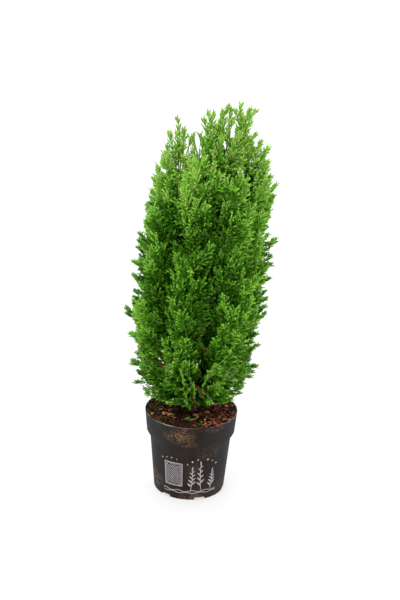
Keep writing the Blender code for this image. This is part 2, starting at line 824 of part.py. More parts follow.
def build_bough(plume, parts, trunk_cutter):
    """A tapering limb from the trunk to the place where it enters its mass."""
    line = [plume.entry * i / (BOUGH_RINGS - 1) for i in range(BOUGH_RINGS)]
    points = [plume.point(share) for share in line]
    radii = [
        BOUGH_RADIUS + (STEM_RADIUS - BOUGH_RADIUS) * i / (BOUGH_RINGS - 1)
        for i in range(BOUGH_RINGS)
    ]
    bough = add_object(f"bough_{plume.name}", limb_mesh(points, radii, 1), parts)
    boolean(bough, "DIFFERENCE", trunk_cutter)
    bough.data = largest_body(bough.data)
    bough.data.materials.clear()
    bough.data.materials.append(material("bark"))
    return Limb(points, radii)


def build_plant(parts, cutters):
    """Trunk, boughs and masses of foliage."""
    trunk = add_object("trunk", trunk_mesh(), parts, "bark")
    trunk_cutter = add_object("trunk_space", trunk_mesh(CLEAR), cutters)
    trunk_cutter.hide_render = True
    trunk_cutter.display_type = "WIRE"
    shares = [i / LIMB_SAMPLES for i in range(LIMB_SAMPLES + 1)]
    trunk_limb = Limb([trunk_point(s) for s in shares], [trunk_radius(s) for s in shares])
    plumes = make_plumes()
    limbs = {"trunk": trunk_limb}
    for plume in plumes:
        if plume.has_bough():
            limbs[plume.name] = build_bough(plume, parts, trunk_cutter)
        elif plume.entry > 0.0:
            foot = [plume.entry * i / (BOUGH_RINGS - 1) for i in range(BOUGH_RINGS)]
            limbs[plume.name] = Limb([plume.point(s) for s in foot], [STEM_RADIUS] * BOUGH_RINGS)
    rng = random.Random(GROWTH_SEED)
    targets = list(FAR_SPRIGS)
    targets += spread_targets(plumes, OUTLINE_SPRAYS, OUTLINE_RANGE, OUTLINE_SHARE, rng)
    targets += spread_targets(plumes, INNER_SPRAYS, INNER_RANGE, INNER_SHARE, rng)
    for number, plume in enumerate(plumes):
        others = [
            limb for name, limb in limbs.items() if name != plume.name or plume.has_bough()
        ]
        meets_trunk_side = not plume.has_bough() and plume.name != "top"
        if meets_trunk_side:
            first = 0.0
        else:
            first = plume.entry + CLEAR / plume.slope(plume.entry).length
        stem = [first + (STEM_END - first) * i / (STEM_RINGS - 1) for i in range(STEM_RINGS)]
        own = [target for target in targets if plume.in_cell(target)]
        grower = Grower(plume, others, random.Random(MASS_SEED + number))
        grower.grow(parts, stem, own, trunk_cutter if meets_trunk_side else None)


def main():
    for item in list(bpy.data.objects):
        bpy.data.objects.remove(item, do_unlink=True)
    parts = bpy.data.collections.new("potted_cypress")
    pot_cutters = bpy.data.collections.new("pot_cutters")
    cutters = bpy.data.collections.new("cutters")
    for collection in (parts, pot_cutters, cutters):
        bpy.context.scene.collection.children.link(collection)
    build_pot(parts, pot_cutters)
    build_mix(parts, random.Random(MIX_SEED))
    build_plant(parts, cutters)


main()
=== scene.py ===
"""Looks of a young potted cypress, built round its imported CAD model.

Lengths are in metres, with +Z up. The front of the plant faces -Y, and azimuths are in degrees,
counted from the front towards +X.
"""

import math
import random

import bmesh
import bpy
import numpy as np
from mathutils import Matrix, Quaternion, Vector, noise


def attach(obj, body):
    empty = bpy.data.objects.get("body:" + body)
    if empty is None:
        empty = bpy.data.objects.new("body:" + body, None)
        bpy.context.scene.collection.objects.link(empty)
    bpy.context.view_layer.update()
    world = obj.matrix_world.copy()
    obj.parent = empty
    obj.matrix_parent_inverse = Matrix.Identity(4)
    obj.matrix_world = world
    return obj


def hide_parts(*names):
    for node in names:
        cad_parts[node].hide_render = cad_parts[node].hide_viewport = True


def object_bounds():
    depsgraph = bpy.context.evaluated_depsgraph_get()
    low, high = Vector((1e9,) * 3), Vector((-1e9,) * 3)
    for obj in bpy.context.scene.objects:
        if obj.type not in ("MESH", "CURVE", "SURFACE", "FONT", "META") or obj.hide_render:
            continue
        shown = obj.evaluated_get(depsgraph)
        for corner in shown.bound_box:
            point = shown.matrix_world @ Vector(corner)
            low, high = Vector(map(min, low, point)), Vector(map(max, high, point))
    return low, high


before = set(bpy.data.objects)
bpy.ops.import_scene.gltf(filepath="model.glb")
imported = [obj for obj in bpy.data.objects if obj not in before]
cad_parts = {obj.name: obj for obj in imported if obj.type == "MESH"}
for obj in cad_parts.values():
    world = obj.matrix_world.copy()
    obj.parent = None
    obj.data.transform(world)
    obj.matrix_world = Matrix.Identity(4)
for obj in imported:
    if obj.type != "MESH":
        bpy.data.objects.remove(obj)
cad_low, cad_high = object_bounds()

MM = 0.001
UP = Vector((0, 0, 1))

# Sizes that this script shares with the CAD model.
POT_HEIGHT = 110 * MM
RIM_RADIUS = 60 * MM
BAND_RADIUS = 57.4 * MM
BAND_FOOT = 82.5 * MM
SHOULDER_RADIUS = 52.6 * MM
SHOULDER_FOOT = 74.2 * MM
BASE_RADIUS = 46.1 * MM
BASE_ROUNDING = 2.4 * MM
WALL = 1.3 * MM
MIX_EDGE_HEIGHT = 105.4 * MM
MIX_TOP = 106 * MM
MIX_EDGE_RADIUS = 57.6 * MM

TRUNK_FOOT = MIX_TOP + 0.3 * MM
TRUNK_TIP = Vector((36 * MM, -3 * MM, 436 * MM))
TRUNK_BEND = Vector((-6 * MM, 2 * MM, 300 * MM))
TRUNK_RADIUS = 4.6 * MM
TRUNK_TIP_RADIUS = 0.9 * MM
FLARE_RADIUS = 3.4 * MM
FLARE_HEIGHT = 7 * MM
BOUGH_RADIUS = 1.9 * MM
STEM_RADIUS = 1.3 * MM
STEM_TIP_RADIUS = 0.5 * MM

# The crown's outline: height, centre across, and half the width there.
CROWN = (
    (111 * MM, 0 * MM, 46 * MM),
    (124 * MM, -1 * MM, 60 * MM),
    (165 * MM, 0 * MM, 73 * MM),
    (245 * MM, 0 * MM, 88 * MM),
    (330 * MM, 12 * MM, 84 * MM),
    (400 * MM, 16 * MM, 78 * MM),
    (455 * MM, 19 * MM, 66 * MM),
    (500 * MM, 19 * MM, 55 * MM),
    (524 * MM, 40 * MM, 34 * MM),
)
CROWN_DEPTH = 0.93

# The leaves' own outline, drawn in a little closer to the photographed one.
OUTLINE = (
    (111 * MM, 0 * MM, 46 * MM),
    (124 * MM, -1 * MM, 60 * MM),
    (150 * MM, 0 * MM, 70 * MM),
    (205 * MM, 1 * MM, 74 * MM),
    (245 * MM, 3 * MM, 83 * MM),
    (285 * MM, 6 * MM, 81 * MM),
    (310 * MM, 8 * MM, 81 * MM),
    (330 * MM, 9 * MM, 80 * MM),
    (365 * MM, 10 * MM, 76 * MM),
    (400 * MM, 16 * MM, 77 * MM),
    (425 * MM, 15 * MM, 72 * MM),
    (455 * MM, 18 * MM, 65 * MM),
    (500 * MM, 19 * MM, 55 * MM),
    (524 * MM, 40 * MM, 34 * MM),
)
FOLIAGE_FLOOR = 112 * MM
FLOOR_RISE = 0.405            # how the crown's underside rises with distance from the trunk

# Each tier's azimuths, and heights of root, heart and tip in millimetres.
TIERS = {
    "low": {
        "azimuths": (-20, 42, 100, 160, 220, 280),
        "roots": (120, 127, 121, 128, 120, 126),
        "hearts": (300, 280, 306, 284, 304, 312),
        "tips": (370, 348, 378, 352, 374, 386),
        "reach": 0.68,
        "drop": 0.13,
    },
    "high": {
        "azimuths": (-17, 38, 86, 146, 206),
        "roots": (196, 214, 184, 222, 204),
        "hearts": (410, 392, 416, 394, 412),
        "tips": (456, 432, 464, 446, 464),
        "reach": 0.72,
        "drop": 0.40,
    },
}
LEADERS = (
    (232, 446, Vector((-30, -5, 497)) * MM),
    (320, 466, Vector((12, 2, 506)) * MM),
)
TOP_TIP = Vector((49, -4, 518)) * MM
TOP_HEART = 482 * MM

# Points that single sprays reach, deep in the crown and on its far side.
FAR_SPRIGS = tuple(Vector(spot) * MM for spot in (
    (-8, 30, 462), (24, 28, 464), (50, 24, 458), (5, -38, 454), (-17, -45, 422),
    (-28, -50, 406), (-39, -35, 411), (43, -45, 415), (69, -20, 431), (20, -22, 462),
    (50, -20, 462), (-26, 16, 450), (-20, -22, 452), (2, 18, 460), (80, 0, 372), (78, -8, 362),
    (82, 6, 384), (78, -20, 352), (66, -14, 452), (60, 10, 462), (74, -6, 198),
    (72, 8, 190), (75, 0, 184), (70, -14, 178), (74, 4, 172), (68, -10, 165),
    (-62, 0, 380), (-58, -8, 370), (-60, 6, 366), (-56, 2, 386),
))

# Points that short sprays reach low down in front, where they hide the trunk's foot.
FOOT_SPRIGS = tuple(Vector(spot) * MM for spot in (
    (-12, -24, 127), (-3, -19, 124), (3, -27, 127), (10, -18, 124), (18, -24, 127), (-20, -18, 126),
))

# Sprays that stand out at the crown's sides, each as tip and foot: across and height.
SIDE_SPRIGS = (
    ((-71, 350), (-63, 344)), ((-72, 336), (-64, 330)), ((-73, 323), (-64, 320)),
    ((-77, 313), (-67, 308)), ((-78, 291), (-68, 282)), ((-78, 285), (-69, 278)),
    ((-76, 258), (-68, 251)), ((-86, 246), (-74, 239)), ((-85, 234), (-73, 230)),
    ((-80, 217), (-67, 218)), ((-78, 209), (-67, 210)), ((-71, 198), (-60, 202)),
    ((-68, 185), (-58, 184)), ((-77, 175), (-65, 171)), ((-78, 165), (-65, 168)),
    ((-72, 150), (-60, 151)), ((-67, 135), (-54, 137)),
    ((85, 370), (78, 363)), ((86, 354), (77, 347)), ((96, 345), (84, 338)),
    ((97, 337), (85, 331)), ((91, 326), (82, 321)), ((93, 311), (82, 313)),
    ((91, 288), (81, 286)), ((88, 270), (79, 268)), ((88, 255), (78, 252)),
    ((89, 241), (77, 232)), ((79, 222), (70, 218)), ((74, 206), (65, 203)),
    ((82, 197), (71, 192)), ((80, 178), (70, 179)), ((76, 165), (65, 167)),
    ((75, 153), (63, 156)), ((62, 138), (51, 137)),
)
SIDE_SPRIG_LENGTH = 34 * MM
SIDE_SPRIG_DEPTH = 12 * MM    # they stand this far in front of and behind the middle plane
SIDE_SPRIG_SIZE = 0.5
SIDE_MOOD = -0.18             # they are darker than the rest
SPRIG_SLACK = 1.2             # share of the outline that they may reach

# Single slim shoots that stand out all along the crown's two sides.
FINGERS = 60
FINGER_RANGE = (152 * MM, 400 * MM)
FINGER_SHARE = (0.94, 1.05)   # how far out their tips lie
FINGER_LENGTH = (11 * MM, 15 * MM)
FINGER_LEAN = (35, 62)
FINGER_DEPTH = 16 * MM
FINGER_TONES = ("deep", "deep", "mid")

# Single thick sprigs of the open top, each as tip, foot and size.
TOP_SPRIGS = tuple((Vector(tip) * MM, Vector(foot) * MM, size) for tip, foot, size in (
    ((-30, -4, 496), (-24, -2, 480), 0.80), ((-21, -2, 482), (-20, -1, 458), 1.05),
    ((-29, -6, 480), (-28, -4, 455), 1.10), ((-38, 2, 475), (-34, 1, 454), 0.90),
    ((-41, 0, 460), (-36, 0, 440), 0.80), ((-9, -2, 475), (-15, -1, 462), 0.50),
    ((-15, -2, 472), (-12, -1, 452), 0.60), ((-6, 0, 454), (-11, 0, 440), 0.60),
    ((-2, 2, 474), (7, 4, 462), 0.60), ((8, 8, 502), (11, 5, 488), 0.75),
    ((15, 8, 501), (12, 5, 487), 0.75), ((2, 6, 493), (8, 4, 478), 0.90),
    ((17, 4, 486), (16, 2, 464), 1.10), ((9, 2, 488), (12, 2, 462), 1.10),
    ((32, -1, 511), (25, 0, 496), 0.80), ((25, 0, 505), (24, 0, 486), 0.70),
    ((36, -3, 507), (30, -2, 494), 0.60), ((38, -12, 499), (32, -7, 480), 0.80),
    ((27, -3, 493), (27, -2, 466), 1.10), ((48, -4, 518), (45, -3, 506), 0.85),
    ((39, -4, 508), (45, -3, 495), 0.70), ((65, -6, 508), (53, -4, 497), 0.80),
    ((58, -2, 509), (54, -2, 495), 0.70), ((48, -3, 503), (50, -2, 480), 1.20),
    ((59, -8, 494), (51, -6, 480), 0.90), ((66, -14, 481), (56, -9, 471), 0.80),
    ((55, -10, 478), (53, -8, 456), 1.10), ((45, 4, 476), (46, 3, 456), 0.80),
    ((40, -14, 473), (38, -12, 456), 0.60), ((73, -6, 470), (67, -4, 454), 1.00),
    ((82, 0, 460), (72, 0, 450), 1.10), ((82, -8, 446), (72, -5, 437), 0.80),
    ((82, 6, 435), (71, 4, 427), 0.80), ((87, 0, 425), (81, 0, 411), 0.70),
    ((94, 0, 415), (84, 0, 404), 0.65), ((91, 0, 400), (81, 0, 384), 0.80),
    ((-51, 2, 430), (-42, 1, 412), 0.80), ((-56, 0, 417), (-47, 0, 402), 0.70),
    ((-58, 0, 402), (-49, 0, 385), 0.75), ((-62, 0, 381), (-52, 0, 363), 0.90),
    ((-65, 0, 362), (-56, 0, 345), 0.75), ((-42, 4, 450), (-32, 3, 412), 1.0),
    ((42, 12, 484), (40, 10, 450), 1.0), ((12, -10, 482), (14, -8, 452), 1.0),
    ((24, 12, 482), (22, 10, 450), 1.0), ((25, -14, 476), (22, -12, 446), 1.0),
    ((56, 6, 486), (50, 5, 456), 1.0), ((46, -14, 484), (43, -12, 452), 1.0),
    ((62, -2, 474), (56, -2, 444), 1.0), ((33, 10, 472), (32, 8, 446), 1.0),
    ((-2, 14, 470), (4, 8, 450), 0.80), ((30, -16, 447), (33, -10, 426), 0.80),
    ((41, -16, 441), (38, -10, 420), 0.80),
))

# Gaps through which the sky shows: across, height and half width, seen on the plant's middle plane.
VIEWPOINT = Vector((6.03, -1700.0, 914.06)) * MM
SKY_GAPS = (
    (-5, 471, 2.2), (-4, 465, 3.1), (-3, 459, 2.9), (-3, 453, 3.3), (-1, 447, 2.0),
    (-16, 468, 1.6), (-16, 456, 2.4), (-16, 451, 2.2), (-24, 438, 2.1), (-24, 432, 2.1),
    (-24, 426, 1.7), (-43, 428, 2.1), (-43, 417, 2.0), (5, 416, 1.7), (-27, 407, 1.4),
    (39, 482, 2.4), (37, 475, 1.6), (29, 465, 1.4),
    (22, 455, 1.4), (52, 432, 1.6), (62, 445, 1.6), (70, 437, 1.6), (-42, 186, 2.6),
    (-45, 179, 2.2), (-38, 172, 2.0), (6, 171, 1.6), (14, 162, 1.6), (52, 140, 2.2),
)

GAP_MARGIN = 0.8 * MM
GAP_STEPS = (0.3, 0.55, 0.8, 1.0)

# Folds between the plumes, where sprays stand back and take painted shade, and crests on them, where sprays
# take painted light, as lines across and up the crown's front.
FOLDS = (
    ((15, 438), (17, 416), (16, 368)),
    ((41, 392), (43, 372), (37, 352), (22, 338), (18, 310), (11, 274), (6, 250), (6, 200), (10, 178)),
    ((-30, 376), (-29, 340), (-34, 297)),
    ((-27, 240), (-28, 208)),
    ((-60, 288), (-52, 246)),
    ((-52, 214), (-46, 206)),
    ((-48, 154), (-30, 138)),
    ((-29, 230), (-43, 268)),
    ((-6, 266), (34, 267)),
)
LIT_CRESTS = (
    ((78, 402), (72, 380), (66, 360), (58, 335), (54, 312)),
    ((79, 378), (79, 350), (69, 318)),
    ((68, 240), (66, 228)),
    ((-73, 216), (-70, 208)),
    ((25, 486), (36, 460), (37, 446)),
    ((-9, 424), (-11, 392), (-9, 345)),
    ((69, 290), (66, 282)),
    ((34, 250), (34, 242)),
    ((-58, 405), (-47, 392), (-52, 370), (-53, 348)),
    ((-78, 292), (-69, 284)),
    ((18, 151), (46, 158)),
)
FOLD_WIDTH = 11 * MM
FOLD_DEPTH = 9 * MM          # sprays in a fold stand this far back
FOLD_SHADE = 0.34             # and get this much painted shade, as darker tones on the scale of tones
# Painted light: sprays near a crest line get tones this much lighter.
CREST_LIGHT = 0.30
FRONT = 12 * MM               # folds and crests end this far behind the middle plane

# Places with some dry brown shoots, across and up.
DRY_SPOTS = ((-33, 171), (5, 212), (11, 193), (-1, 129), (10, 136))
DRY_WIDTH = 5 * MM

# How twigs and sprays grow.
GOLDEN_ANGLE = math.radians(137.5)
OUTLINE_SPRAYS = 330
OUTLINE_RANGE = (134 * MM, 456 * MM)
OUTLINE_SHARE = (0.86, 0.98)
EDGE_SPRAYS = 76              # more at the left and right edges, so that they close
EDGE_SHARE = (0.84, 0.95)
EDGE_DEPTH = 26 * MM
INNER_SPRAYS = 220
INNER_RANGE = (130 * MM, 464 * MM)
INNER_SHARE = (0.10, 0.74)
VALLEY_DEPTH = 0.30           # share of the crown's width lost where two masses meet
VALLEY_WIDTH = 12 * MM
LEANS = (
    (115 * MM, 76),
    (150 * MM, 56),
    (195 * MM, 34),
    (260 * MM, 22),
    (400 * MM, 15),
    (460 * MM, 10),
    (520 * MM, 8),
)
LEAN_PRICE = 150 * MM
ASTRAY = 0.28                 # share of the sprays that lean out further, by these degrees
ASTRAY_LEAN = (12, 32)
EDGEWISE = 0.3                # share of the flat sprays that stand edgewise to the front
STRETCH = 0.5
SPRAY_LENGTH = (54 * MM, 80 * MM)
# Side shoots of a flat spray and of a thick round sprig: lengths near the tip and further down,
# distance from the tip over which they grow to that, distance between them, spread, and how far
# past the tip they may reach.
FAN = {
    "sides": (8 * MM, 22 * MM), "growth": 42 * MM, "pitch": 2.25 * MM, "spread": (31, 41),
    "beyond": 6 * MM,
}
COLUMN = {
    "sides": (6.9 * MM, 10.8 * MM), "growth": 18 * MM, "pitch": 1.7 * MM, "spread": (26, 41),
    "beyond": 1.5 * MM,
}
SPRIG_LENGTH = 60 * MM
GREEN_ABOVE = 415 * MM        # twigs that end above this are green from their foot
TIP_SPREAD = 15               # degrees by which the last three shoots of a spray part
SHOOT_LENGTHS = (7, 10, 13, 17, 22)
SHOOT_VARIANTS = 6
SHOOTLET_PITCH = 4.2 * MM
SHOOTLET_LENGTH = 8 * MM
SHOOTLET_SHORTEST = 4.2 * MM
CORE_RADIUS = 0.9 * MM
LEAF_LENGTH = 3.8 * MM
LEAF_WIDTH = 1.5 * MM
LEAF_PITCH = 2.6 * MM
LEAF_SPREAD = (14, 30)        # degrees from the shoot, along it and at its tip
BLADE_WIDTH = 2.9 * MM        # plain shoots deep inside are blades
FRESH_TIP = 0.66              # share of a side shoot from which it takes the next lighter green
INSIDE = 0.66                 # share of the crown's width within which shoots are plain

# Parts of the crown by height, so that no joined piece grows too large.
BANDS = (("lower", 205 * MM), ("middle", 305 * MM), ("upper", 400 * MM), ("top", 1.0))

# Plain greens and browns dealt out to the shoots, as two close tones each.
LEAF_TONES = {
    "deep": ((0.022, 0.096, 0.002), (0.039, 0.150, 0.003)),
    "mid": ((0.066, 0.225, 0.007), (0.100, 0.310, 0.011)),
    "bright": ((0.165, 0.440, 0.024), (0.225, 0.540, 0.036)),
    "fresh": ((0.270, 0.580, 0.055), (0.350, 0.660, 0.080)),
    "grass": ((0.195, 0.420, 0.040), (0.255, 0.500, 0.060)),
    "pale": ((0.310, 0.570, 0.080), (0.390, 0.650, 0.110)),
    "dusty": ((0.330, 0.430, 0.110), (0.420, 0.500, 0.150)),
    "sage": ((0.125, 0.235, 0.055), (0.190, 0.320, 0.100)),
    "dead": ((0.160, 0.065, 0.018), (0.300, 0.140, 0.035)),
}
LIGHTER = {
    "deep": "mid", "mid": "bright", "bright": "fresh", "fresh": "fresh", "grass": "pale",
    "pale": "pale", "dusty": "dusty", "sage": "sage", "dead": "dead",
}
LEAF_GLOSS = {"deep": 0.10, "mid": 0.26}
LOW_SCALE = ("deep", "mid", "bright", "fresh")
SKIRT_SCALE = ("deep", "mid", "sage", "sage")
SKIRT_RANGE = (120 * MM, 215 * MM)     # duller greens die out over these heights
HIGH_SCALE = ("mid", "grass", "grass", "pale")
MASS_MOODS = (0.08, -0.05, 0.03, -0.08, 0.0)  # some masses are lighter than others
HIGH_RANGE = (360 * MM, 455 * MM)  # over these heights the paler scale takes over; its extra lightness there is partly painted light from above


def bezier(start, bend, end, share):
    """Point on a quadratic curve."""
    back = 1.0 - share
    return start * back * back + bend * (2 * back * share) + end * share * share


def trunk_point(share):
    return bezier(Vector((0, 0, TRUNK_FOOT)), TRUNK_BEND, TRUNK_TIP, share)


def trunk_at(height):
    """Share of the trunk's line at which it passes a height."""
    low, high = 0.0, 1.0
    for _ in range(30):
        middle = (low + high) / 2
        if trunk_point(middle).z < height:
            low = middle
        else:
            high = middle
    return low


def trunk_radius(share):
    rise = trunk_point(share).z - TRUNK_FOOT
    flare = FLARE_RADIUS * math.exp(-rise / FLARE_HEIGHT)
    return TRUNK_RADIUS + (TRUNK_TIP_RADIUS - TRUNK_RADIUS) * share + flare


def table_at(table, height):
    """Read a table of (height, values...) rows at a height, by straight lines between rows."""
    for low, high in zip(table, table[1:]):
        if height <= high[0]:
            share = max(0.0, (height - low[0]) / (high[0] - low[0]))
            return [a + (b - a) * share for a, b in zip(low[1:], high[1:])]
    return list(table[-1][1:])


def crown_share(point):
    """How far out a point lies in the crown: 1 is on its outline."""
    centre, width = table_at(OUTLINE, point.z)
    return math.hypot((point.x - centre) / width, point.y / (width * CROWN_DEPTH))


def in_crown(point, slack=1.0):
    floor = FOLIAGE_FLOOR + FLOOR_RISE * math.hypot(point.x, point.y)
    return floor <= point.z <= cad_high.z and crown_share(point) <= slack


def seen_place(point):
    """Where a point is seen on the plant's middle plane."""
    share = -VIEWPOINT.y / (point.y - VIEWPOINT.y)
    return VIEWPOINT + (point - VIEWPOINT) * share


def in_gap(point, margin=0.0):
    """Whether a point would close one of the gaps through which the sky shows."""
    seen = seen_place(point)
    return any(
        math.hypot(seen.x - x * MM, seen.z - z * MM) < radius * MM + margin
        for x, z, radius in SKY_GAPS
    )


def nearness(seen, lines):
    """How near a seen place is to the nearest of some lines: 1 is on it."""
    best = 1.0
    for line in lines:
        for (x0, z0), (x1, z1) in zip(line, line[1:]):
            along_x, along_z = (x1 - x0) * MM, (z1 - z0) * MM
            off_x, off_z = seen.x - x0 * MM, seen.z - z0 * MM
            share = (off_x * along_x + off_z * along_z) / (along_x ** 2 + along_z ** 2)
            share = min(max(share, 0.0), 1.0)
            best = min(best, math.hypot(off_x - along_x * share, off_z - along_z * share))
    return math.exp(-((best / FOLD_WIDTH) ** 2))


def fold_at(point):
    """How deep in a fold a point is, and how near a crest: shares for painted shade and painted light."""
    if point.y > FRONT:
        return 0.0, 0.0
    seen = seen_place(point)
    return nearness(seen, FOLDS), nearness(seen, LIT_CRESTS)


class Plume:
    """One mass of foliage: the line of its bough and stem, and its own space."""

    def __init__(self, root_share, tip, drop, heart):
        self.root = trunk_point(root_share)
        self.tip = tip
        rise = tip.z - self.root.z
        sideways = Vector((tip.x - self.root.x, tip.y - self.root.y, 0.0))
        self.bend = self.root + sideways * 0.8 + Vector((0, 0, rise * drop))
        self.site = self.point(self.share_at(heart))
        self.planes = []

    def point(self, share):
        return bezier(self.root, self.bend, self.tip, share)

    def share_at(self, height):
        return min((i / 60 for i in range(61)), key=lambda s: abs(self.point(s).z - height))

    def share_out(self, others):
        """Settle the planes between this mass's space and the others'."""
        squash = Vector((1.0, 1.0, STRETCH))
        here = self.site * squash
        for other in others:
            if other is not self:
                there = other.site * squash
                normal = (there - here).normalized()
                self.planes.append((normal, normal.dot((here + there) / 2)))

    def room(self, point):
        """Distance of a point from the edge of this mass's space, negative outside."""
        flat = point * Vector((1.0, 1.0, STRETCH))
        return min(limit - normal.dot(flat) for normal, limit in self.planes)

    def in_cell(self, point):
        return self.room(point) >= 0.0


def make_plumes():
    plumes = []
    for rule in TIERS.values():
        rows = zip(rule["azimuths"], rule["roots"], rule["hearts"], rule["tips"])
        for azimuth, root, heart, tip in rows:
            centre, width = table_at(CROWN, tip * MM)
            angle = math.radians(azimuth)
            out = width * rule["reach"]
            place = Vector((
                centre + out * math.sin(angle), -out * CROWN_DEPTH * math.cos(angle), tip * MM
            ))
            plumes.append(Plume(trunk_at(root * MM), place, rule["drop"], heart * MM))
    for root, heart, tip in LEADERS:
        plumes.append(Plume(trunk_at(root * MM), tip, 0.5, heart * MM))
    top = Plume(1.0, TOP_TIP, 0.5, TOP_HEART)
    top.bend = (top.root + top.tip) / 2
    plumes.append(top)
    for plume in plumes:
        plume.share_out(plumes)
    return plumes


class Pile:
    """Corners and triangles gathered for one joined mesh."""

    def __init__(self):
        self.corners = []
        self.faces = []
        self.count = 0

    def add(self, corners, faces):
        self.corners.append(np.asarray(corners, np.float32))
        self.faces.append(np.asarray(faces, np.int32) + self.count)
        self.count += len(corners)

    def build(self, name, finish, slot, smooth=False):
        """Write the gathered triangles as one object that rides on the plant's body."""
        corners = np.concatenate(self.corners)
        faces = np.concatenate(self.faces)
        mesh = bpy.data.meshes.new(name)
        mesh.vertices.add(len(corners))
        mesh.vertices.foreach_set("co", corners.ravel())
        mesh.loops.add(len(faces) * 3)
        mesh.loops.foreach_set("vertex_index", faces.ravel())
        mesh.polygons.add(len(faces))
        mesh.polygons.foreach_set("loop_start", np.arange(0, len(faces) * 3, 3, dtype=np.int32))
        mesh.polygons.foreach_set("use_smooth", np.full(len(faces), smooth))
        mesh.update(calc_edges=True)
        mesh.materials.append(finish)
        made = bpy.data.objects.new(name, mesh)
        bpy.context.scene.collection.objects.link(made)
        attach(made, "root")
        return made


def basis(direction, roll=0.0):
    """3 x 3 array whose columns are a frame with its Z along a direction."""
    turn = Vector((0, 0, 1)).rotation_difference(direction).to_matrix()
    return np.array(turn @ Matrix.Rotation(roll, 3, "Z"))


def flat_basis(direction, across, roll):
    """The same for a flat shoot, as rows: its X lies near the way across."""
    side = across - direction * across.dot(direction)
    side = side.normalized() if side.length > 0.05 else direction.orthogonal().normalized()
    side.rotate(Quaternion(direction, roll))
    return np.array((side, direction.cross(side), direction), np.float32)


def tube(points, radii, sides):
    """Corners and triangles of a round limb through some points, closed at its tip."""
    points = [Vector(point) for point in points]
    rings = []
    for index, (point, radius) in enumerate(zip(points, radii)):
        before = points[max(index - 1, 0)]
        after = points[min(index + 1, len(points) - 1)]
        turn = basis((after - before).normalized())
        angles = np.arange(sides) * 2 * math.pi / sides
        ring = np.stack([np.cos(angles), np.sin(angles), np.zeros(sides)])
        rings.append((turn @ ring).T * radius + np.array(point))
    corners = np.concatenate(rings + [np.array([points[-1]])])
    faces = []
    for ring in range(len(points) - 1):
        for side in range(sides):
            a, b = ring * sides + side, ring * sides + (side + 1) % sides
            faces.append((a, b, b + sides))
            faces.append((a, b + sides, a + sides))
    last = (len(points) - 1) * sides
    for side in range(sides):
        faces.append((last + side, last + (side + 1) % sides, len(corners) - 1))
    return corners, np.array(faces)


def blade(start, along, length, side):
    """Two crossed narrow diamonds, for shoots that only show between others."""
    corners = [start, start + along * length]
    faces = []
    for way in (side, along.cross(side)):
        first = len(corners)
        for sign in (1, -1):
            corners.append(start + along * length * 0.6 + way * sign * BLADE_WIDTH / 2)
        faces += [(0, first, 1), (0, 1, first + 1)]
    return corners, faces


def leafy_line(start, way, length, rng, fine, bare=0.0):
    """Blunt scale leaves in crossed pairs on a stout core, along a shoot that may start bare."""
    along = way.normalized()
    side = along.orthogonal().normalized()
    if not fine:
        return blade(start, along, length, side)
    core, skin = tube(
        [start, start + along * length * 0.95], (CORE_RADIUS * 0.7, CORE_RADIUS), 3
    )
    core[-1] = start + along * length
    corners = [Vector(corner) for corner in core]
    faces = [tuple(face) for face in skin]
    pairs = max(1, round(length * (1.0 - bare) / LEAF_PITCH))
    for index in range(pairs * 2):
        share = bare + (1.0 - bare) * (index // 2 + 0.2) / pairs
        size = min(LEAF_LENGTH, length * (1.0 - share) + 1.3 * MM) * rng.uniform(0.9, 1.1)
        angle = (index // 2) * math.radians(95) + (index % 2) * math.pi + rng.uniform(-0.3, 0.3)
        out = side.copy()
        out.rotate(Quaternion(along, angle))
        spot = start + along * length * share + out * CORE_RADIUS * 0.4
        spread = LEAF_SPREAD[0] + (LEAF_SPREAD[1] - LEAF_SPREAD[0]) * share ** 3
        spread = math.radians(spread + rng.uniform(-5, 5))
        ahead = along * math.cos(spread) + out * math.sin(spread)
        across = along.cross(out).normalized() * LEAF_WIDTH / 2
        middle = spot + ahead * size * 0.6 - out * 0.3 * MM
        first = len(corners)
        corners += [spot, middle + across, spot + ahead * size, middle - across]
        faces += [(first, first + 1, first + 2), (first, first + 2, first + 3)]
    return corners, faces


def shoot_template(length, rng, fine):
    """A flat feathery side shoot up +Z, spread along X, as two meshes: body and fresher tips."""
    parts = ([], []), ([], [])

    def clothe(part, start, way, reach, bare=0.0):
        corners, faces = parts[part]
        more_corners, more_faces = leafy_line(start, way, reach, rng, fine, bare)
        first = len(corners)
        corners.extend(more_corners)
        faces.extend([tuple(first + i for i in face) for face in more_faces])

    bend = Vector((rng.uniform(-0.08, 0.08), rng.uniform(-0.08, 0.08), 1.0))
    split = FRESH_TIP * length
    clothe(0, Vector((0, 0, 0)), Vector((0, 0, 1)), split + 0.4 * MM, 0.15)
    clothe(1, Vector((0, 0, split)), bend, length - split)
    count = int((length - 4 * MM) / SHOOTLET_PITCH)
    for index in range(count):
        height = 3.0 * MM + index * SHOOTLET_PITCH
        reach = min(SHOOTLET_LENGTH, (length - height) * 0.62) * rng.uniform(0.85, 1.1)
        if reach < SHOOTLET_SHORTEST:
            continue
        angle = index * math.pi + rng.uniform(-0.25, 0.25)
        spread = math.radians(rng.uniform(26, 34))
        way = Vector((
            math.sin(spread) * math.cos(angle), math.sin(spread) * math.sin(angle),
            math.cos(spread),
        ))
        start = Vector((0, 0, height))
        clothe(int(index % 3 == 0 or height > split * 0.8), start, way, reach)
    return [
        (np.array(corners, np.float32), np.array(faces, np.int32)) for corners, faces in parts
    ]


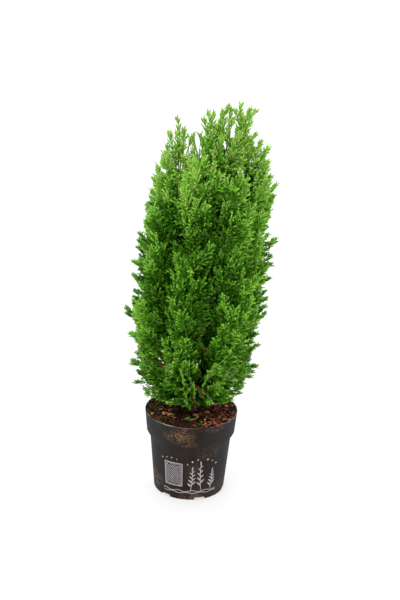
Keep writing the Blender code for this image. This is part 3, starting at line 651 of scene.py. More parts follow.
class Foliage:
    """Grows the sprays and deals their shoots out to piles by colour and height."""

    def __init__(self):
        rng = random.Random(11)
        self.fine, self.plain = (
            {
                length: [shoot_template(length * MM, rng, fine) for _ in range(SHOOT_VARIANTS)]
                for length in SHOOT_LENGTHS
            }
            for fine in (True, False)
        )
        self.leaves = {}
        self.twigs = Pile()
        self.green_twigs = Pile()
        self.rng = random.Random(23)
        self.mood = 0.0
        self.mass_mood = 0.0
        self.slack = 1.03

    def pile(self, tone, height):
        """The pile for a colour in the part of the crown at a height."""
        band = next(name for name, top in BANDS if height < top)
        if (tone, band) not in self.leaves:
            self.leaves[tone, band] = Pile()
        return self.leaves[tone, band]

    def shoot(self, base, direction, length, tone, across=None):
        """Place the template that is nearest in length, where it stays in the crown."""
        tip = base + direction * length
        if not in_crown(tip, self.slack):
            length *= 0.6
            tip = base + direction * length
            if length < 5 * MM or not in_crown(tip, self.slack):
                return
        if any(in_gap(base + direction * length * part, GAP_MARGIN) for part in GAP_STEPS):
            return
        nearest = min(SHOOT_LENGTHS, key=lambda size: abs(size * MM - length))
        kinds = self.plain if crown_share(tip) < INSIDE and tip.z < 430 * MM else self.fine
        turn = flat_basis(direction, across, self.rng.uniform(-0.5, 0.5))
        scale = min(max(length / (nearest * MM), 0.8), 1.2)
        root = np.array(base, np.float32)
        for (corners, faces), green in zip(
            self.rng.choice(kinds[nearest]), (tone, LIGHTER[tone])
        ):
            if len(corners):
                self.pile(green, base.z).add(corners @ turn * scale + root, faces)

    def tone_for(self, spot, share_out, along):
        """Fresh greens towards the tips; lighter greens towards the outline and deeper ones further in,
        partly painted shade; painted shade as deep greens in folds; painted light as lighter greens on
        crests; paler greens on top, lighter in part as painted light from above.
        """
        rng = self.rng
        height = spot.z
        if height < 200 * MM and rng.random() < 0.006:
            return "dead"
        if spot.y < 0.0 and height < 300 * MM and rng.random() < 0.6:
            seen = seen_place(spot)
            if any(math.hypot(seen.x - x * MM, seen.z - z * MM) < DRY_WIDTH for x, z in DRY_SPOTS):
                return "dead"
        if along > 0.95 and height > 430 * MM and rng.random() < 0.4:
            return "dusty"
        high = (height - HIGH_RANGE[0]) / (HIGH_RANGE[1] - HIGH_RANGE[0])
        # Lighter towards the outline and deeper further in, partly painted shade; lighter along the spray
        # towards its tip.
        value = 0.55 * share_out + 0.35 * along + self.mood + rng.uniform(-0.21, 0.21)
        # Painted light from above: lighter tones towards the top.
        value += 0.30 * min(max(high, 0.0), 1.0)
        fold, crest = fold_at(spot)
        # Painted light near crests, painted shade in folds.
        value += CREST_LIGHT * crest - FOLD_SHADE * fold
        skirt = (SKIRT_RANGE[1] - height) / (SKIRT_RANGE[1] - SKIRT_RANGE[0])
        chance = rng.random()
        scale = HIGH_SCALE if chance < high else SKIRT_SCALE if chance < skirt else LOW_SCALE
        return scale[sum(value > step for step in (0.55, 0.82, 1.03))]

    def spray(self, path, length, size=1.0, habit=FAN):
        """Clothe the last stretch of a branch with side shoots."""
        rng = self.rng
        sides, spreads = habit["sides"], habit["spread"]
        whole = sum((b - a).length for a, b in zip(path, path[1:]))
        begin = max(0.0, 1.0 - length / whole)
        steps = len(path) - 1

        def at(share):
            place = min(share * steps, steps - 1e-6)
            low = int(place)
            return path[low].lerp(path[low + 1], place - low), (path[low + 1] - path[low]).normalized()

        leafy = min(length, whole)
        count = max(3, int(leafy / habit["pitch"]))
        outwards = path[-1] - Vector((table_at(OUTLINE, path[-1].z)[0], 0.0, path[-1].z))
        roll = rng.uniform(-0.5, 0.5) + (math.pi / 2 if rng.random() < EDGEWISE else 0.0)
        self.mood = self.mass_mood + rng.uniform(-0.16, 0.16)
        for index in range(count):
            part = index / count
            spot, along = at(begin + (1 - begin) * part)
            swell = min(1.0, (1.0 - part) * leafy / habit["growth"])
            reach = sides[0] + (sides[1] - sides[0]) * swell ** 0.9
            reach *= size * min(1.0, 0.6 + part * 2.5) * rng.uniform(0.85, 1.1)
            side = along.cross(Vector((0, 1, 0))).normalized()
            spread = math.radians(
                spreads[1] + (spreads[0] - spreads[1]) * part + rng.uniform(-4, 4)
            )
            left = leafy * (1.0 - part) + habit["beyond"]
            reach = min(reach, max(left / math.cos(spread), 5 * MM))
            angle = roll + index * math.pi + rng.uniform(-0.2, 0.2)
            if habit is COLUMN:
                angle = roll + index * GOLDEN_ANGLE
            elif index % 4 == 3:
                side = (outwards - along * along.dot(outwards)).normalized()
                angle = rng.uniform(-0.5, 0.5)
                spread += math.radians(12)
                reach *= 0.85
            side.rotate(Quaternion(along, angle))
            way = along * math.cos(spread) + side * math.sin(spread)
            lift = 0.15 if spot.z > 210 * MM else 0.05
            way = (way + Vector((0, 0, lift))).normalized()
            out = crown_share(spot + way * reach * 0.6)
            self.shoot(spot, way, reach, self.tone_for(spot, out, part), side)
        spot, along = at(0.985)
        for turn in range(3):
            side = along.orthogonal().normalized()
            side.rotate(Quaternion(along, roll + turn * 2 * math.pi / 3))
            way = (along + side * math.tan(math.radians(TIP_SPREAD))).normalized()
            tone = self.tone_for(spot, 1.0, 1.0)
            self.shoot(spot - along * 8.5 * MM, way, 9 * MM, tone, side)

    def branch(self, base, target, size=1.0, foot=None, habit=FAN, length=None):
        """A branch that turns up towards its tip, or comes from its foot, with its spray."""
        way = target - base
        if foot is None:
            lean = math.radians(table_at(LEANS, target.z)[0] + self.rng.uniform(-5, 5))
            if self.rng.random() < ASTRAY:
                lean += math.radians(self.rng.uniform(*ASTRAY_LEAN))
            out = Vector((way.x, way.y, 0.0)).normalized()
            rise = out * math.sin(lean) + Vector((0, 0, math.cos(lean)))
            bend = target - rise * way.length * 0.55
        else:
            bend = foot
        path = [bezier(base, bend, target, i / 10) for i in range(11)]
        length = length or self.rng.uniform(*SPRAY_LENGTH) * size
        radii = [(1.0 - 0.65 * i / 10) * 0.95 * MM for i in range(11)]
        split = max(1, min(9, int(10 * max(0.0, 1 - length * 0.6 / max(way.length, 0.001)))))
        if target.z > GREEN_ABOVE:
            split = 1
        self.twigs.add(*tube(path[:split + 1], radii[:split + 1], 5))
        self.green_twigs.add(*tube(path[split:], radii[split:], 4))
        self.spray(path, length, size, habit)

    def lead_to(self, plume, target, size=1.0, foot=None, habit=FAN, length=None):
        """Grow a branch from the best place on the mass's stem to a point."""
        wanted = math.radians(table_at(LEANS, target.z)[0])
        best, cost = None, 1.0
        for step in range(2, 39):
            share = 0.97 * step / 40
            way = (foot or target) - plume.point(share)
            tilt = way.angle(Vector((0, 0, 1)))
            price = way.length + abs(tilt - wanted) * LEAN_PRICE
            if price < cost:
                best, cost = share, price
        self.branch(plume.point(best), target, size, foot, habit, length)

    def clothe_stem(self, point, count, low, high):
        """Sprays all round a stretch of a stem, which hide it."""
        rng = self.rng
        turn = rng.uniform(0, 2 * math.pi)
        for index in range(count):
            share = low + (high - low) * index / count
            base = point(share)
            if base.z < 200 * MM:
                continue
            along = (point(share + 0.03) - base).normalized()
            side = along.orthogonal().normalized()
            side.rotate(Quaternion(along, turn + index * GOLDEN_ANGLE))
            spread = math.radians(rng.uniform(22, 34))
            way = along * math.cos(spread) + side * math.sin(spread)
            reach = rng.uniform(40, 58) * MM
            end = base + way * reach
            if in_crown(end, 0.97) and end.z < 472 * MM:
                self.branch(base, base + way * reach, 0.8)

    def fringe(self):
        """Single slim shoots that stand out all along the crown's two sides."""
        rng = self.rng
        for index in range(FINGERS):
            height = FINGER_RANGE[0] + (FINGER_RANGE[1] - FINGER_RANGE[0]) * index / FINGERS
            centre, width = table_at(OUTLINE, height)
            out = 1 if index % 2 else -1
            tip = Vector((
                centre + out * width * rng.uniform(*FINGER_SHARE),
                rng.uniform(-FINGER_DEPTH, FINGER_DEPTH), height,
            ))
            lean = math.radians(rng.uniform(*FINGER_LEAN))
            way = Vector((out * math.sin(lean), rng.uniform(-0.2, 0.2), math.cos(lean))).normalized()
            length = rng.uniform(*FINGER_LENGTH)
            base = tip - way * length
            tone = rng.choice(FINGER_TONES)
            for part in (-1, 1):
                self.shoot(base, (way + Vector((0, 0, 0.1 * part))).normalized(), length, tone, UP)
            self.green_twigs.add(*tube([base - way * 15 * MM, base], [0.7 * MM, 0.6 * MM], 4))

    def drop_litter(self):
        """A fallen sprig and a dark pointed leaf, which lie on the potting mix."""
        start = Vector((*LITTER_SPRIG, mix_height(math.hypot(*LITTER_SPRIG)) + 2 * MM))
        turn = flat_basis(Vector((1, -0.05, 0.06)).normalized(), Vector((0, 1, 0)), 0.2)
        for (corners, faces), tone in zip(self.fine[LITTER_SPRIG_LENGTH][0], ("sage", "pale")):
            self.pile(tone, start.z).add(corners @ turn + np.array(start, np.float32), faces)
        start = Vector((*LITTER_LEAF, mix_height(math.hypot(*LITTER_LEAF)) + 2 * MM))
        along = Vector((0.05, -1.0, 0.05)).normalized()
        for lean in (-0.5, 0.0, 0.5):
            way = (along + Vector((lean * 0.3, 0, 0))).normalized()
            corners, faces = blade(start, way, LITTER_LEAF_LENGTH, Vector((1, 0, 0.3)).normalized())
            self.pile("deep", start.z).add(np.array(corners), faces)


def spread_targets(plumes, count, heights, shares, rng):
    """Points spread evenly round the crown, drawn in where two masses meet."""
    targets = []
    for index in range(count):
        height = heights[0] + (heights[1] - heights[0]) * (index + 0.5) / count
        angle = index * GOLDEN_ANGLE
        centre, width = table_at(OUTLINE, height)
        out = width * rng.uniform(*shares)
        ray = Vector((math.cos(angle), CROWN_DEPTH * math.sin(angle), 0.0))
        spot = Vector((centre, 0.0, height))
        room = max(plume.room(spot + ray * out) for plume in plumes)
        out *= 1.0 - VALLEY_DEPTH * math.exp(-((room / VALLEY_WIDTH) ** 2))
        target = spot + ray * out
        target.y += FOLD_DEPTH * fold_at(target)[0]
        targets.append(target)
    return targets


def edge_targets(rng):
    """Points close to the crown's left and right edges."""
    targets = []
    for index in range(EDGE_SPRAYS):
        height = OUTLINE_RANGE[0] + (OUTLINE_RANGE[1] - OUTLINE_RANGE[0]) * index / EDGE_SPRAYS
        centre, width = table_at(OUTLINE, height)
        out = width * rng.uniform(*EDGE_SHARE) * (1 if index % 2 else -1)
        targets.append(Vector((centre + out, rng.uniform(-EDGE_DEPTH, EDGE_DEPTH), height)))
    return targets


# The pot's colours, and its dirt: each patch's centre and half size in millimetres, and strength.
COOL_TONE = (0.027, 0.028, 0.034)
FILM_TONE = (0.070, 0.054, 0.044)
DIRT_TONE = (0.110, 0.066, 0.037)
STRAND_TONE = (0.270, 0.155, 0.078)
# Painted highlight along the rim's top edge.
RIM_HIGHLIGHT_TONE = (0.230, 0.220, 0.205)
DIRT = (
    ((-15, -56, 95), (26, 30, 11), 0.95),
    ((-8, -58, 105), (16, 24, 6), 0.7),
    ((32, -50, 106), (16, 24, 6), 0.5),
    ((-43, -20, 20), (14, 24, 18), 0.8),
    ((3, -45, 4), (18, 20, 8), 0.9),
    ((24, -48, 70), (26, 24, 14), 0.25),
    ((-1, -57, 85), (14, 20, 5), 0.7),
)

# A plain printed design on the pot's front, in millimetres round the wall and up.
PRINT_RADIUS = 50 * MM
PRINT_RAISED = 0.10 * MM
PRINT_SUNK = -0.35 * MM
PRINT_STROKE = 0.7
PANEL = (-33, -9, 21, 54)
GROUND_LINE = 15
STALKS = ((3, 30, 1.6), (17, 38, -2.0), (31, 25, 1.4))
DOTS = (
    (-2, 54, 0.9), (4, 58, 1.2), (11, 61, 0.9), (24, 60, 1.2), (31, 57, 0.9), (37, 52, 1.2),
    (-37, 58, 1.0), (-30, 60, 0.8), (-23, 61, 1.0), (-16, 60, 0.8),
)

# Loose potting mix, heaped against the pot's inner wall, and what lies on it.
HEAP_RADIUS = 58.0 * MM
HEAP_HEIGHT = 107.7 * MM
HEAP_FOOT = (56.8 * MM, 96.0 * MM)
LUMP_HEIGHT = 1.1 * MM
CHIP_TONES = {
    "dark": ((0.010, 0.004, 0.001), (0.036, 0.014, 0.004)),
    "moss": ((0.034, 0.030, 0.003), (0.095, 0.080, 0.009)),
    "red": ((0.092, 0.017, 0.005), (0.210, 0.046, 0.016)),
    "rust": ((0.245, 0.068, 0.032), (0.405, 0.155, 0.085)),
    "tan": ((0.360, 0.200, 0.110), (0.600, 0.400, 0.250)),
    "orange": ((0.480, 0.170, 0.065), (0.760, 0.370, 0.190)),
    "purple": ((0.030, 0.008, 0.0045), (0.074, 0.024, 0.014)),
}
CHIP_SHARES = {
    "left": (("dark", 0.38), ("moss", 0.38), ("tan", 0.03), ("rust", 0.04), ("red", 0.17)),
    "middle": (("dark", 0.48), ("purple", 0.36), ("rust", 0.04), ("tan", 0.03), ("red", 0.09)),
    "right": (("dark", 0.30), ("red", 0.44), ("rust", 0.23), ("tan", 0.03)),
}
CHIPS = 900
LITTER_SPRIG = (-12 * MM, -31 * MM)
LITTER_SPRIG_LENGTH = 17      # one of the shoots' lengths
LITTER_LEAF = (12 * MM, -35 * MM)
LITTER_LEAF_LENGTH = 15 * MM
LARGE_CHIPS = (
    ("orange", (-35, -14), (6, 5, 3.4)), ("orange", (-28, -17), (6.5, 6, 4)),
    ("orange", (6, -17), (7, 5.5, 5)),
    ("tan", (19, -28), (8, 3.5, 2.6)), ("tan", (21, -6), (7, 5, 3)),
    ("orange", (46, 12), (5, 3, 2.4)), ("tan", (-50, -18), (5, 3, 2)),
)


def link_nodes(material, pairs):
    for source, target in pairs:
        material.node_tree.links.new(source, target)


def finish(name, tones, scale, roughness, bump=0.0, bump_scale=None, detail=4.0, gloss=0.5):
    """A procedural finish: close tones, roughness and relief, all from noise in the surface."""
    made = bpy.data.materials.new(name)
    made.use_nodes = True
    nodes = made.node_tree.nodes
    shader = nodes["Principled BSDF"]
    shader.inputs["Specular IOR Level"].default_value = gloss
    place = nodes.new("ShaderNodeTexCoord")
    grain = nodes.new("ShaderNodeTexNoise")
    grain.inputs["Scale"].default_value = scale
    grain.inputs["Detail"].default_value = detail
    ramp = nodes.new("ShaderNodeValToRGB")
    stops = ramp.color_ramp.elements
    while len(stops) < len(tones):
        stops.new(0.5)
    for index, (stop, tone) in enumerate(zip(stops, tones)):
        stop.position = 0.32 + 0.36 * index / max(1, len(tones) - 1)
        stop.color = (*tone, 1.0)
    rough = nodes.new("ShaderNodeMapRange")
    rough.inputs["To Min"].default_value = roughness[0]
    rough.inputs["To Max"].default_value = roughness[1]
    link_nodes(made, (
        (place.outputs["Object"], grain.inputs["Vector"]),
        (grain.outputs["Fac"], ramp.inputs["Fac"]),
        (ramp.outputs["Color"], shader.inputs["Base Color"]),
        (grain.outputs["Fac"], rough.inputs["Value"]),
        (rough.outputs["Result"], shader.inputs["Roughness"]),
    ))
    if bump:
        relief = nodes.new("ShaderNodeTexNoise")
        relief.inputs["Scale"].default_value = bump_scale or scale * 2
        relief.inputs["Detail"].default_value = 5.0
        dent = nodes.new("ShaderNodeBump")
        dent.inputs["Strength"].default_value = bump
        dent.inputs["Distance"].default_value = 0.5 * MM
        link_nodes(made, (
            (place.outputs["Object"], relief.inputs["Vector"]),
            (relief.outputs["Fac"], dent.inputs["Height"]),
            (dent.outputs["Normal"], shader.inputs["Normal"]),
        ))
    return made


def build_foliage(plumes):
    """All the sprays, joined by colour, in place of the CAD model's masses."""
    foliage = Foliage()
    rng = random.Random(40)
    targets = list(FAR_SPRIGS)
    targets += spread_targets(plumes, OUTLINE_SPRAYS, OUTLINE_RANGE, OUTLINE_SHARE, rng)
    targets += spread_targets(plumes, INNER_SPRAYS, INNER_RANGE, INNER_SHARE, rng)
    targets += edge_targets(rng)
    for index, plume in enumerate(plumes):
        foliage.mass_mood = MASS_MOODS[index % len(MASS_MOODS)]
        for target in targets:
            if plume.in_cell(target):
                foliage.lead_to(plume, target)
        if plume.tip.z < 480 * MM:
            foliage.branch(plume.point(0.70), plume.tip)
        foliage.clothe_stem(plume.point, 14, 0.30, 0.92)
    foliage.clothe_stem(trunk_point, 26, trunk_at(290 * MM), 0.95)
    for target in FOOT_SPRIGS:
        foliage.branch(trunk_point(trunk_at(124 * MM)), target, 0.55)
    foliage.drop_litter()
    foliage.mass_mood = 0.04
    foliage.slack = SPRIG_SLACK
    for tip, foot, size in TOP_SPRIGS:
        nearest = max(plumes, key=lambda plume: plume.room(foot))
        foliage.lead_to(nearest, tip, size, foot, COLUMN, SPRIG_LENGTH)
    foliage.mass_mood = SIDE_MOOD
    for index, (tip, foot) in enumerate(SIDE_SPRIGS):
        depth = SIDE_SPRIG_DEPTH * (index % 3 - 1)
        tip = Vector((tip[0] * MM, depth, tip[1] * MM))
        foot = Vector((foot[0] * MM, depth * 0.8, foot[1] * MM))
        nearest = max(plumes, key=lambda plume: plume.room(foot))
        foliage.lead_to(nearest, tip, SIDE_SPRIG_SIZE, foot, COLUMN, SIDE_SPRIG_LENGTH)
    foliage.fringe()
    masses = [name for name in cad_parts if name.startswith("foliage_")]
    finishes = {
        tone: finish(f"leaf_{tone}", tones, 240.0, (0.38, 0.54), gloss=LEAF_GLOSS.get(tone, 0.34))
        for tone, tones in LEAF_TONES.items()
    }
    for (tone, band), pile in sorted(foliage.leaves.items()):
        made = pile.build(f"leaves_{tone}_{band}", finishes[tone], "foliage")
        if (tone, band) == ("mid", "middle"):
            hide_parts(*masses)
    bark = finish("twig_bark", ((0.030, 0.016, 0.006), (0.075, 0.040, 0.018)), 300.0, (0.7, 0.9), gloss=0.2)
    foliage.twigs.build("twigs_brown", bark, "bark")
    green = finish("twig_green", ((0.090, 0.240, 0.016), (0.150, 0.340, 0.034)), 300.0, (0.5, 0.7))
    foliage.green_twigs.build("twigs_green", green, "foliage")


def build_limbs(plumes):
    """Trunk, boughs and the masses' stems with ridged bark."""
    pile = Pile()
    sides, rings = 20, 120
    points = [trunk_point(i / (rings - 1)) for i in range(rings)]
    radii = [trunk_radius(i / (rings - 1)) for i in range(rings)]
    corners, faces = tube(points, radii, sides)
    for index in range(rings * sides):
        centre = np.array(points[index // sides])
        out = corners[index] - centre
        spot = Vector(corners[index] * (900, 900, 120))
        ridge = 1.0 + 0.16 * noise.noise(spot) + 0.05 * noise.noise(spot * 3)
        corners[index] = centre + out * ridge
    pile.add(corners, faces)
    for plume in plumes:
        end = min(0.94, plume.share_at(450 * MM))
        line = [plume.point(end * i / 15) for i in range(16)]
        spread = [BOUGH_RADIUS + (STEM_TIP_RADIUS - BOUGH_RADIUS) * i / 15 for i in range(16)]
        corners, faces = tube(line, spread, 8)
        pile.add(corners, faces)
    tones = ((0.025, 0.012, 0.005), (0.060, 0.030, 0.014), (0.120, 0.066, 0.036))
    bark = finish("bark", tones, 420.0, (0.75, 0.95), 0.8, 700.0, gloss=0.2)
    made = pile.build("bark_limbs", bark, "bark", smooth=True)
    limbs = [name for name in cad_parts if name.startswith("bough_")]
    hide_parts("trunk", *limbs)


def mix_height(radius):
    """Height of the loose mix at a distance from the middle: it is heaped up to the rim."""
    return MIX_TOP + (HEAP_HEIGHT - MIX_TOP) * (radius / HEAP_RADIUS) ** 2


def build_mix():
    """Lumpy potting mix with bark chips lying on it."""
    pile = Pile()
    rings, sides = 56, 150
    corners = [(0.0, 0.0, MIX_TOP)]
    for ring in range(1, rings + 1):
        for side in range(sides):
            radius = HEAP_RADIUS * ring / rings
            angle = 2 * math.pi * side / sides
            x, y = radius * math.cos(angle), radius * math.sin(angle)
            lump = noise.noise(Vector((x, y, 0.0)) * 240) + 0.7 * noise.noise(Vector((x, y, 1)) * 650)
            corners.append((x, y, mix_height(radius) + lump * LUMP_HEIGHT))
    for side in range(sides):
        angle = 2 * math.pi * side / sides
        corners.append((HEAP_FOOT[0] * math.cos(angle), HEAP_FOOT[0] * math.sin(angle), HEAP_FOOT[1]))
    corners.append((0.0, 0.0, HEAP_FOOT[1]))
    faces = []
    for side in range(sides):
        ahead = (side + 1) % sides
        faces.append((0, 1 + side, 1 + ahead))
        for ring in range(rings):
            a, b = 1 + ring * sides + side, 1 + ring * sides + ahead
            faces.append((a, a + sides, b + sides))
            faces.append((a, b + sides, b))
        last = 1 + rings * sides
        faces.append((last + side, last + sides, last + ahead))
    pile.add(corners, faces)
    tones = ((0.006, 0.003, 0.001), (0.024, 0.009, 0.003), (0.060, 0.024, 0.007))
    earth = finish("mix", tones, 420.0, (0.8, 1.0), 1.0, 900.0, gloss=0.08)
    made = pile.build("mix_ground", earth, "potting_mix")
    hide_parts("potting_mix")
    build_chips()


def chip_template(rng):
    """A rough splinter of bark: a cube subdivided once, pushed about and flattened."""
    shape = bmesh.new()
    bmesh.ops.create_cube(shape, size=1.0)
    bmesh.ops.subdivide_edges(shape, edges=shape.edges, cuts=1, use_grid_fill=True)
    for corner in shape.verts:
        corner.co *= 1.0 - 0.22 * corner.co.length
        corner.co += Vector([rng.uniform(-0.13, 0.13) for _ in range(3)])
    bmesh.ops.triangulate(shape, faces=shape.faces)
    shape.verts.index_update()
    corners = np.array([corner.co for corner in shape.verts], np.float32)
    faces = np.array([[v.index for v in face.verts] for face in shape.faces], np.int32)
    shape.free()
    return corners, faces


def pick_tone(shares, rng):
    """One name from (name, share) rows, as often as its share says."""
    pick = rng.random()
    for name, share in shares:
        if pick < share:
            return name
        pick -= share
    return shares[-1][0]


def build_chips():
    """Chips, crumbs and fibres strewn over the mix, with the few large ones in their places."""
    rng = random.Random(5)
    templates = [chip_template(rng) for _ in range(9)]
    piles = {tone: Pile() for tone in CHIP_TONES}

    def drop(tone, x, y, size, lift=0.0, tilt=0.5):
        corners, faces = rng.choice(templates)
        turn = Matrix.Rotation(rng.uniform(0, 2 * math.pi), 3, "Z")
        turn = turn @ Matrix.Rotation(rng.uniform(-tilt, tilt), 3, "X")
        turn = turn @ Matrix.Rotation(rng.uniform(-tilt, tilt), 3, "Y")
        spot = (x, y, mix_height(math.hypot(x, y)) + lift)
        piles[tone].add((corners * np.array(size)) @ np.array(turn).T + np.array(spot), faces)

    for index in range(CHIPS):
        radius = (HEAP_RADIUS - 1.5 * MM) * math.sqrt((index + 0.5) / CHIPS)
        angle = index * GOLDEN_ANGLE + rng.uniform(-0.3, 0.3)
        x, y = radius * math.cos(angle), radius * math.sin(angle)
        place = x + rng.uniform(-9, 9) * MM
        side = "left" if place < -24 * MM else "right" if place > 14 * MM else "middle"
        long = rng.uniform(3.0, 8.5) * MM
        thin = rng.uniform(0.16, 0.5)
        if side == "right":
            long, thin = long * 1.25, thin * 0.6
        size = (long, max(long * thin, 1.0 * MM), rng.uniform(0.9, 2.2) * MM)
        near_wall = radius > HEAP_RADIUS - 4 * MM
        drop(
            pick_tone(CHIP_SHARES[side], rng), x, y, size,
            rng.uniform(0.2, 1.3) * MM, 0.25 if near_wall else 0.75,
        )
    for tone, spot, size in LARGE_CHIPS:
        drop(tone, spot[0] * MM, spot[1] * MM, [side * MM for side in size], 1.4 * MM, 0.25)
    for tone, pile in piles.items():
        bark = finish(f"chip_{tone}", CHIP_TONES[tone], 500.0, (0.6, 0.85), 0.6, 1200.0, gloss=0.12)
        pile.build(f"bark_chips_{tone}", bark, "potting_mix")


def math_node(made, operation, first, second):
    """A node that works out one sum, from sockets or constant numbers."""
    node = made.node_tree.nodes.new("ShaderNodeMath")
    node.operation = operation
    for socket, value in zip(node.inputs, (first, second)):
        if isinstance(value, (int, float)):
            socket.default_value = value
        else:
            made.node_tree.links.new(value, socket)
    return node.outputs[0]


def range_node(made, value, low, high):
    """A clamped share: 0 where a value is low, 1 where it is high."""
    node = made.node_tree.nodes.new("ShaderNodeMapRange")
    node.inputs["From Min"].default_value = low
    node.inputs["From Max"].default_value = high
    made.node_tree.links.new(value, node.inputs["Value"])
    return node.outputs["Result"]


def noise_node(made, place, scale, detail=4.0):
    node = made.node_tree.nodes.new("ShaderNodeTexNoise")
    node.inputs["Scale"].default_value = scale
    node.inputs["Detail"].default_value = detail
    made.node_tree.links.new(place, node.inputs["Vector"])
    return node.outputs["Fac"]


def mix_node(made, share, first, tone):
    """The first colour, with a share of a plain tone laid over it."""
    node = made.node_tree.nodes.new("ShaderNodeMix")
    node.data_type = "RGBA"
    node.inputs["B"].default_value = (*tone, 1.0)
    link_nodes(made, ((share, node.inputs["Factor"]), (first, node.inputs["A"])))
    return node.outputs["Result"]


def patch_mask(made, place, centre, half_size):
    """Share that falls from 1 in a patch's middle to 0 at its edge."""
    nodes = made.node_tree.nodes
    steps = []
    for operation, value in (("SUBTRACT", centre), ("DIVIDE", half_size), ("LENGTH", None)):
        step = nodes.new("ShaderNodeVectorMath")
        step.operation = operation
        if value:
            step.inputs[1].default_value = [side * MM for side in value]
        made.node_tree.links.new(steps[-1].outputs["Vector"] if steps else place, step.inputs[0])
        steps.append(step)
    return range_node(made, steps[-1].outputs["Value"], 1.0, 0.15)


def dress_pot():
    """Give the CAD pot its dark moulded plastic with dirt, a dusty film and a painted highlight along the
    rim.
    """
    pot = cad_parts["pot"]
    tones = ((0.0175, 0.0118, 0.0088), (0.0240, 0.0162, 0.0118), (0.0330, 0.0225, 0.0167))
    plastic = finish("pot_plastic", tones, 60.0, (0.62, 0.78), 0.25, 1400.0, gloss=0.10)
    nodes = plastic.node_tree.nodes
    shader = nodes["Principled BSDF"]
    ramp = next(node for node in nodes if node.type == "VALTORGB")
    place = next(node for node in nodes if node.type == "TEX_COORD").outputs["Object"]
    axes = nodes.new("ShaderNodeSeparateXYZ")
    plastic.node_tree.links.new(place, axes.inputs["Vector"])
    colour = ramp.outputs["Color"]

    sideways = math_node(plastic, "ABSOLUTE", axes.outputs["X"], 0.0)
    cool = math_node(plastic, "MULTIPLY", range_node(plastic, sideways, 0.012, 0.050), 0.8)
    colour = mix_node(plastic, cool, colour, COOL_TONE)
    film = range_node(plastic, noise_node(plastic, place, 34.0, 8.0), 0.50, 0.72)
    colour = mix_node(plastic, math_node(plastic, "MULTIPLY", film, 0.5), colour, FILM_TONE)

    strand = math_node(plastic, "SUBTRACT", noise_node(plastic, place, 190.0, 6.0), 0.5)
    strand = range_node(plastic, math_node(plastic, "ABSOLUTE", strand, 0.0), 0.035, 0.005)
    blotch = range_node(plastic, noise_node(plastic, place, 120.0, 8.0), 0.42, 0.62)
    reach = None
    for centre, half_size, strength in DIRT:
        mask = patch_mask(plastic, place, centre, half_size)
        mask = math_node(plastic, "MULTIPLY", mask, strength)
        reach = mask if reach is None else math_node(plastic, "MAXIMUM", reach, mask)
    colour = mix_node(plastic, math_node(plastic, "MULTIPLY", blotch, reach), colour, DIRT_TONE)
    colour = mix_node(plastic, math_node(plastic, "MULTIPLY", strand, reach), colour, STRAND_TONE)

    # Painted highlight: a lighter line along the rim's top edge, broken up by noise and left out on the
    # dirt.
    edge = range_node(plastic, axes.outputs["Z"], POT_HEIGHT - 1.2 * MM, POT_HEIGHT - 0.5 * MM)
    rim_highlight = range_node(plastic, noise_node(plastic, place, 45.0), 0.40, 0.58)
    rim_highlight = math_node(plastic, "MULTIPLY", rim_highlight, math_node(plastic, "SUBTRACT", 1.0, reach))
    colour = mix_node(plastic, math_node(plastic, "MULTIPLY", edge, rim_highlight), colour, RIM_HIGHLIGHT_TONE)
    plastic.node_tree.links.new(colour, shader.inputs["Base Color"])

    for slot in pot.material_slots:
        slot.material = plastic
    pot.data.shade_smooth()
    weld = pot.modifiers.new("Weld", "WELD")
    weld.merge_threshold = 0.00001
    split = pot.modifiers.new("Split", "EDGE_SPLIT")
    split.split_angle = math.radians(25)
    build_print()


def on_wall(across, height, off):
    """Point at a distance off the pot's wall, from millimetres round its front and up."""
    rise = (height * MM - BASE_ROUNDING) / (SHOULDER_FOOT - BASE_ROUNDING)
    radius = BASE_RADIUS + (SHOULDER_RADIUS - BASE_RADIUS) * rise + off
    angle = across * MM / PRINT_RADIUS
    return (radius * math.sin(angle), -radius * math.cos(angle), height * MM)


def stroke(pile, points, width=PRINT_STROKE):
    """A thin raised line along some points on the pot's wall."""
    corners = []
    for index, (across, height) in enumerate(points):
        before = points[max(index - 1, 0)]
        after = points[min(index + 1, len(points) - 1)]
        length = math.hypot(after[0] - before[0], after[1] - before[1])
        side = ((after[1] - before[1]) / length, (before[0] - after[0]) / length)
        for sign, off in ((-1, PRINT_RAISED), (1, PRINT_RAISED), (1, PRINT_SUNK), (-1, PRINT_SUNK)):
            half = sign * width / 2
            corners.append(on_wall(across + side[0] * half, height + side[1] * half, off))
    faces = []
    for ring in range(len(points) - 1):
        for edge in range(4):
            a, b = ring * 4 + edge, ring * 4 + (edge + 1) % 4
            faces.append((a, b, b + 4))
            faces.append((a, b + 4, a + 4))
    last = len(corners) - 4
    faces += [(0, 2, 1), (0, 3, 2), (last, last + 1, last + 2), (last, last + 2, last + 3)]
    pile.add(corners, faces)


def plate(pile, centre, outline):
    """A thin raised shape on the pot's wall, filled from its centre out to an outline."""
    count = len(outline)
    corners = [on_wall(*centre, PRINT_RAISED), on_wall(*centre, PRINT_SUNK)]
    corners += [on_wall(*spot, PRINT_RAISED) for spot in outline]
    corners += [on_wall(*spot, PRINT_SUNK) for spot in outline]
    faces = []
    for index in range(count):
        a, b = 2 + index, 2 + (index + 1) % count
        faces += [(0, a, b), (1, b + count, a + count), (a, a + count, b + count), (a, b + count, b)]
    pile.add(corners, faces)


def leaf_print(pile, foot, angle, length, width):
    """An almond-shaped leaf, from its foot at an angle from upright."""
    along = (math.sin(angle), math.cos(angle))
    across = (along[1], -along[0])
    outline = []
    for index in range(12):
        turn = 2 * math.pi * index / 12
        reach = (1 - math.cos(turn)) / 2 * length
        half = math.sin(turn) * width / 2 * (0.7 + 0.3 * math.cos(turn))
        outline.append((
            foot[0] + along[0] * reach + across[0] * half,
            foot[1] + along[1] * reach + across[1] * half,
        ))
    middle = (foot[0] + along[0] * length / 2, foot[1] + along[1] * length / 2)
    plate(pile, middle, outline)


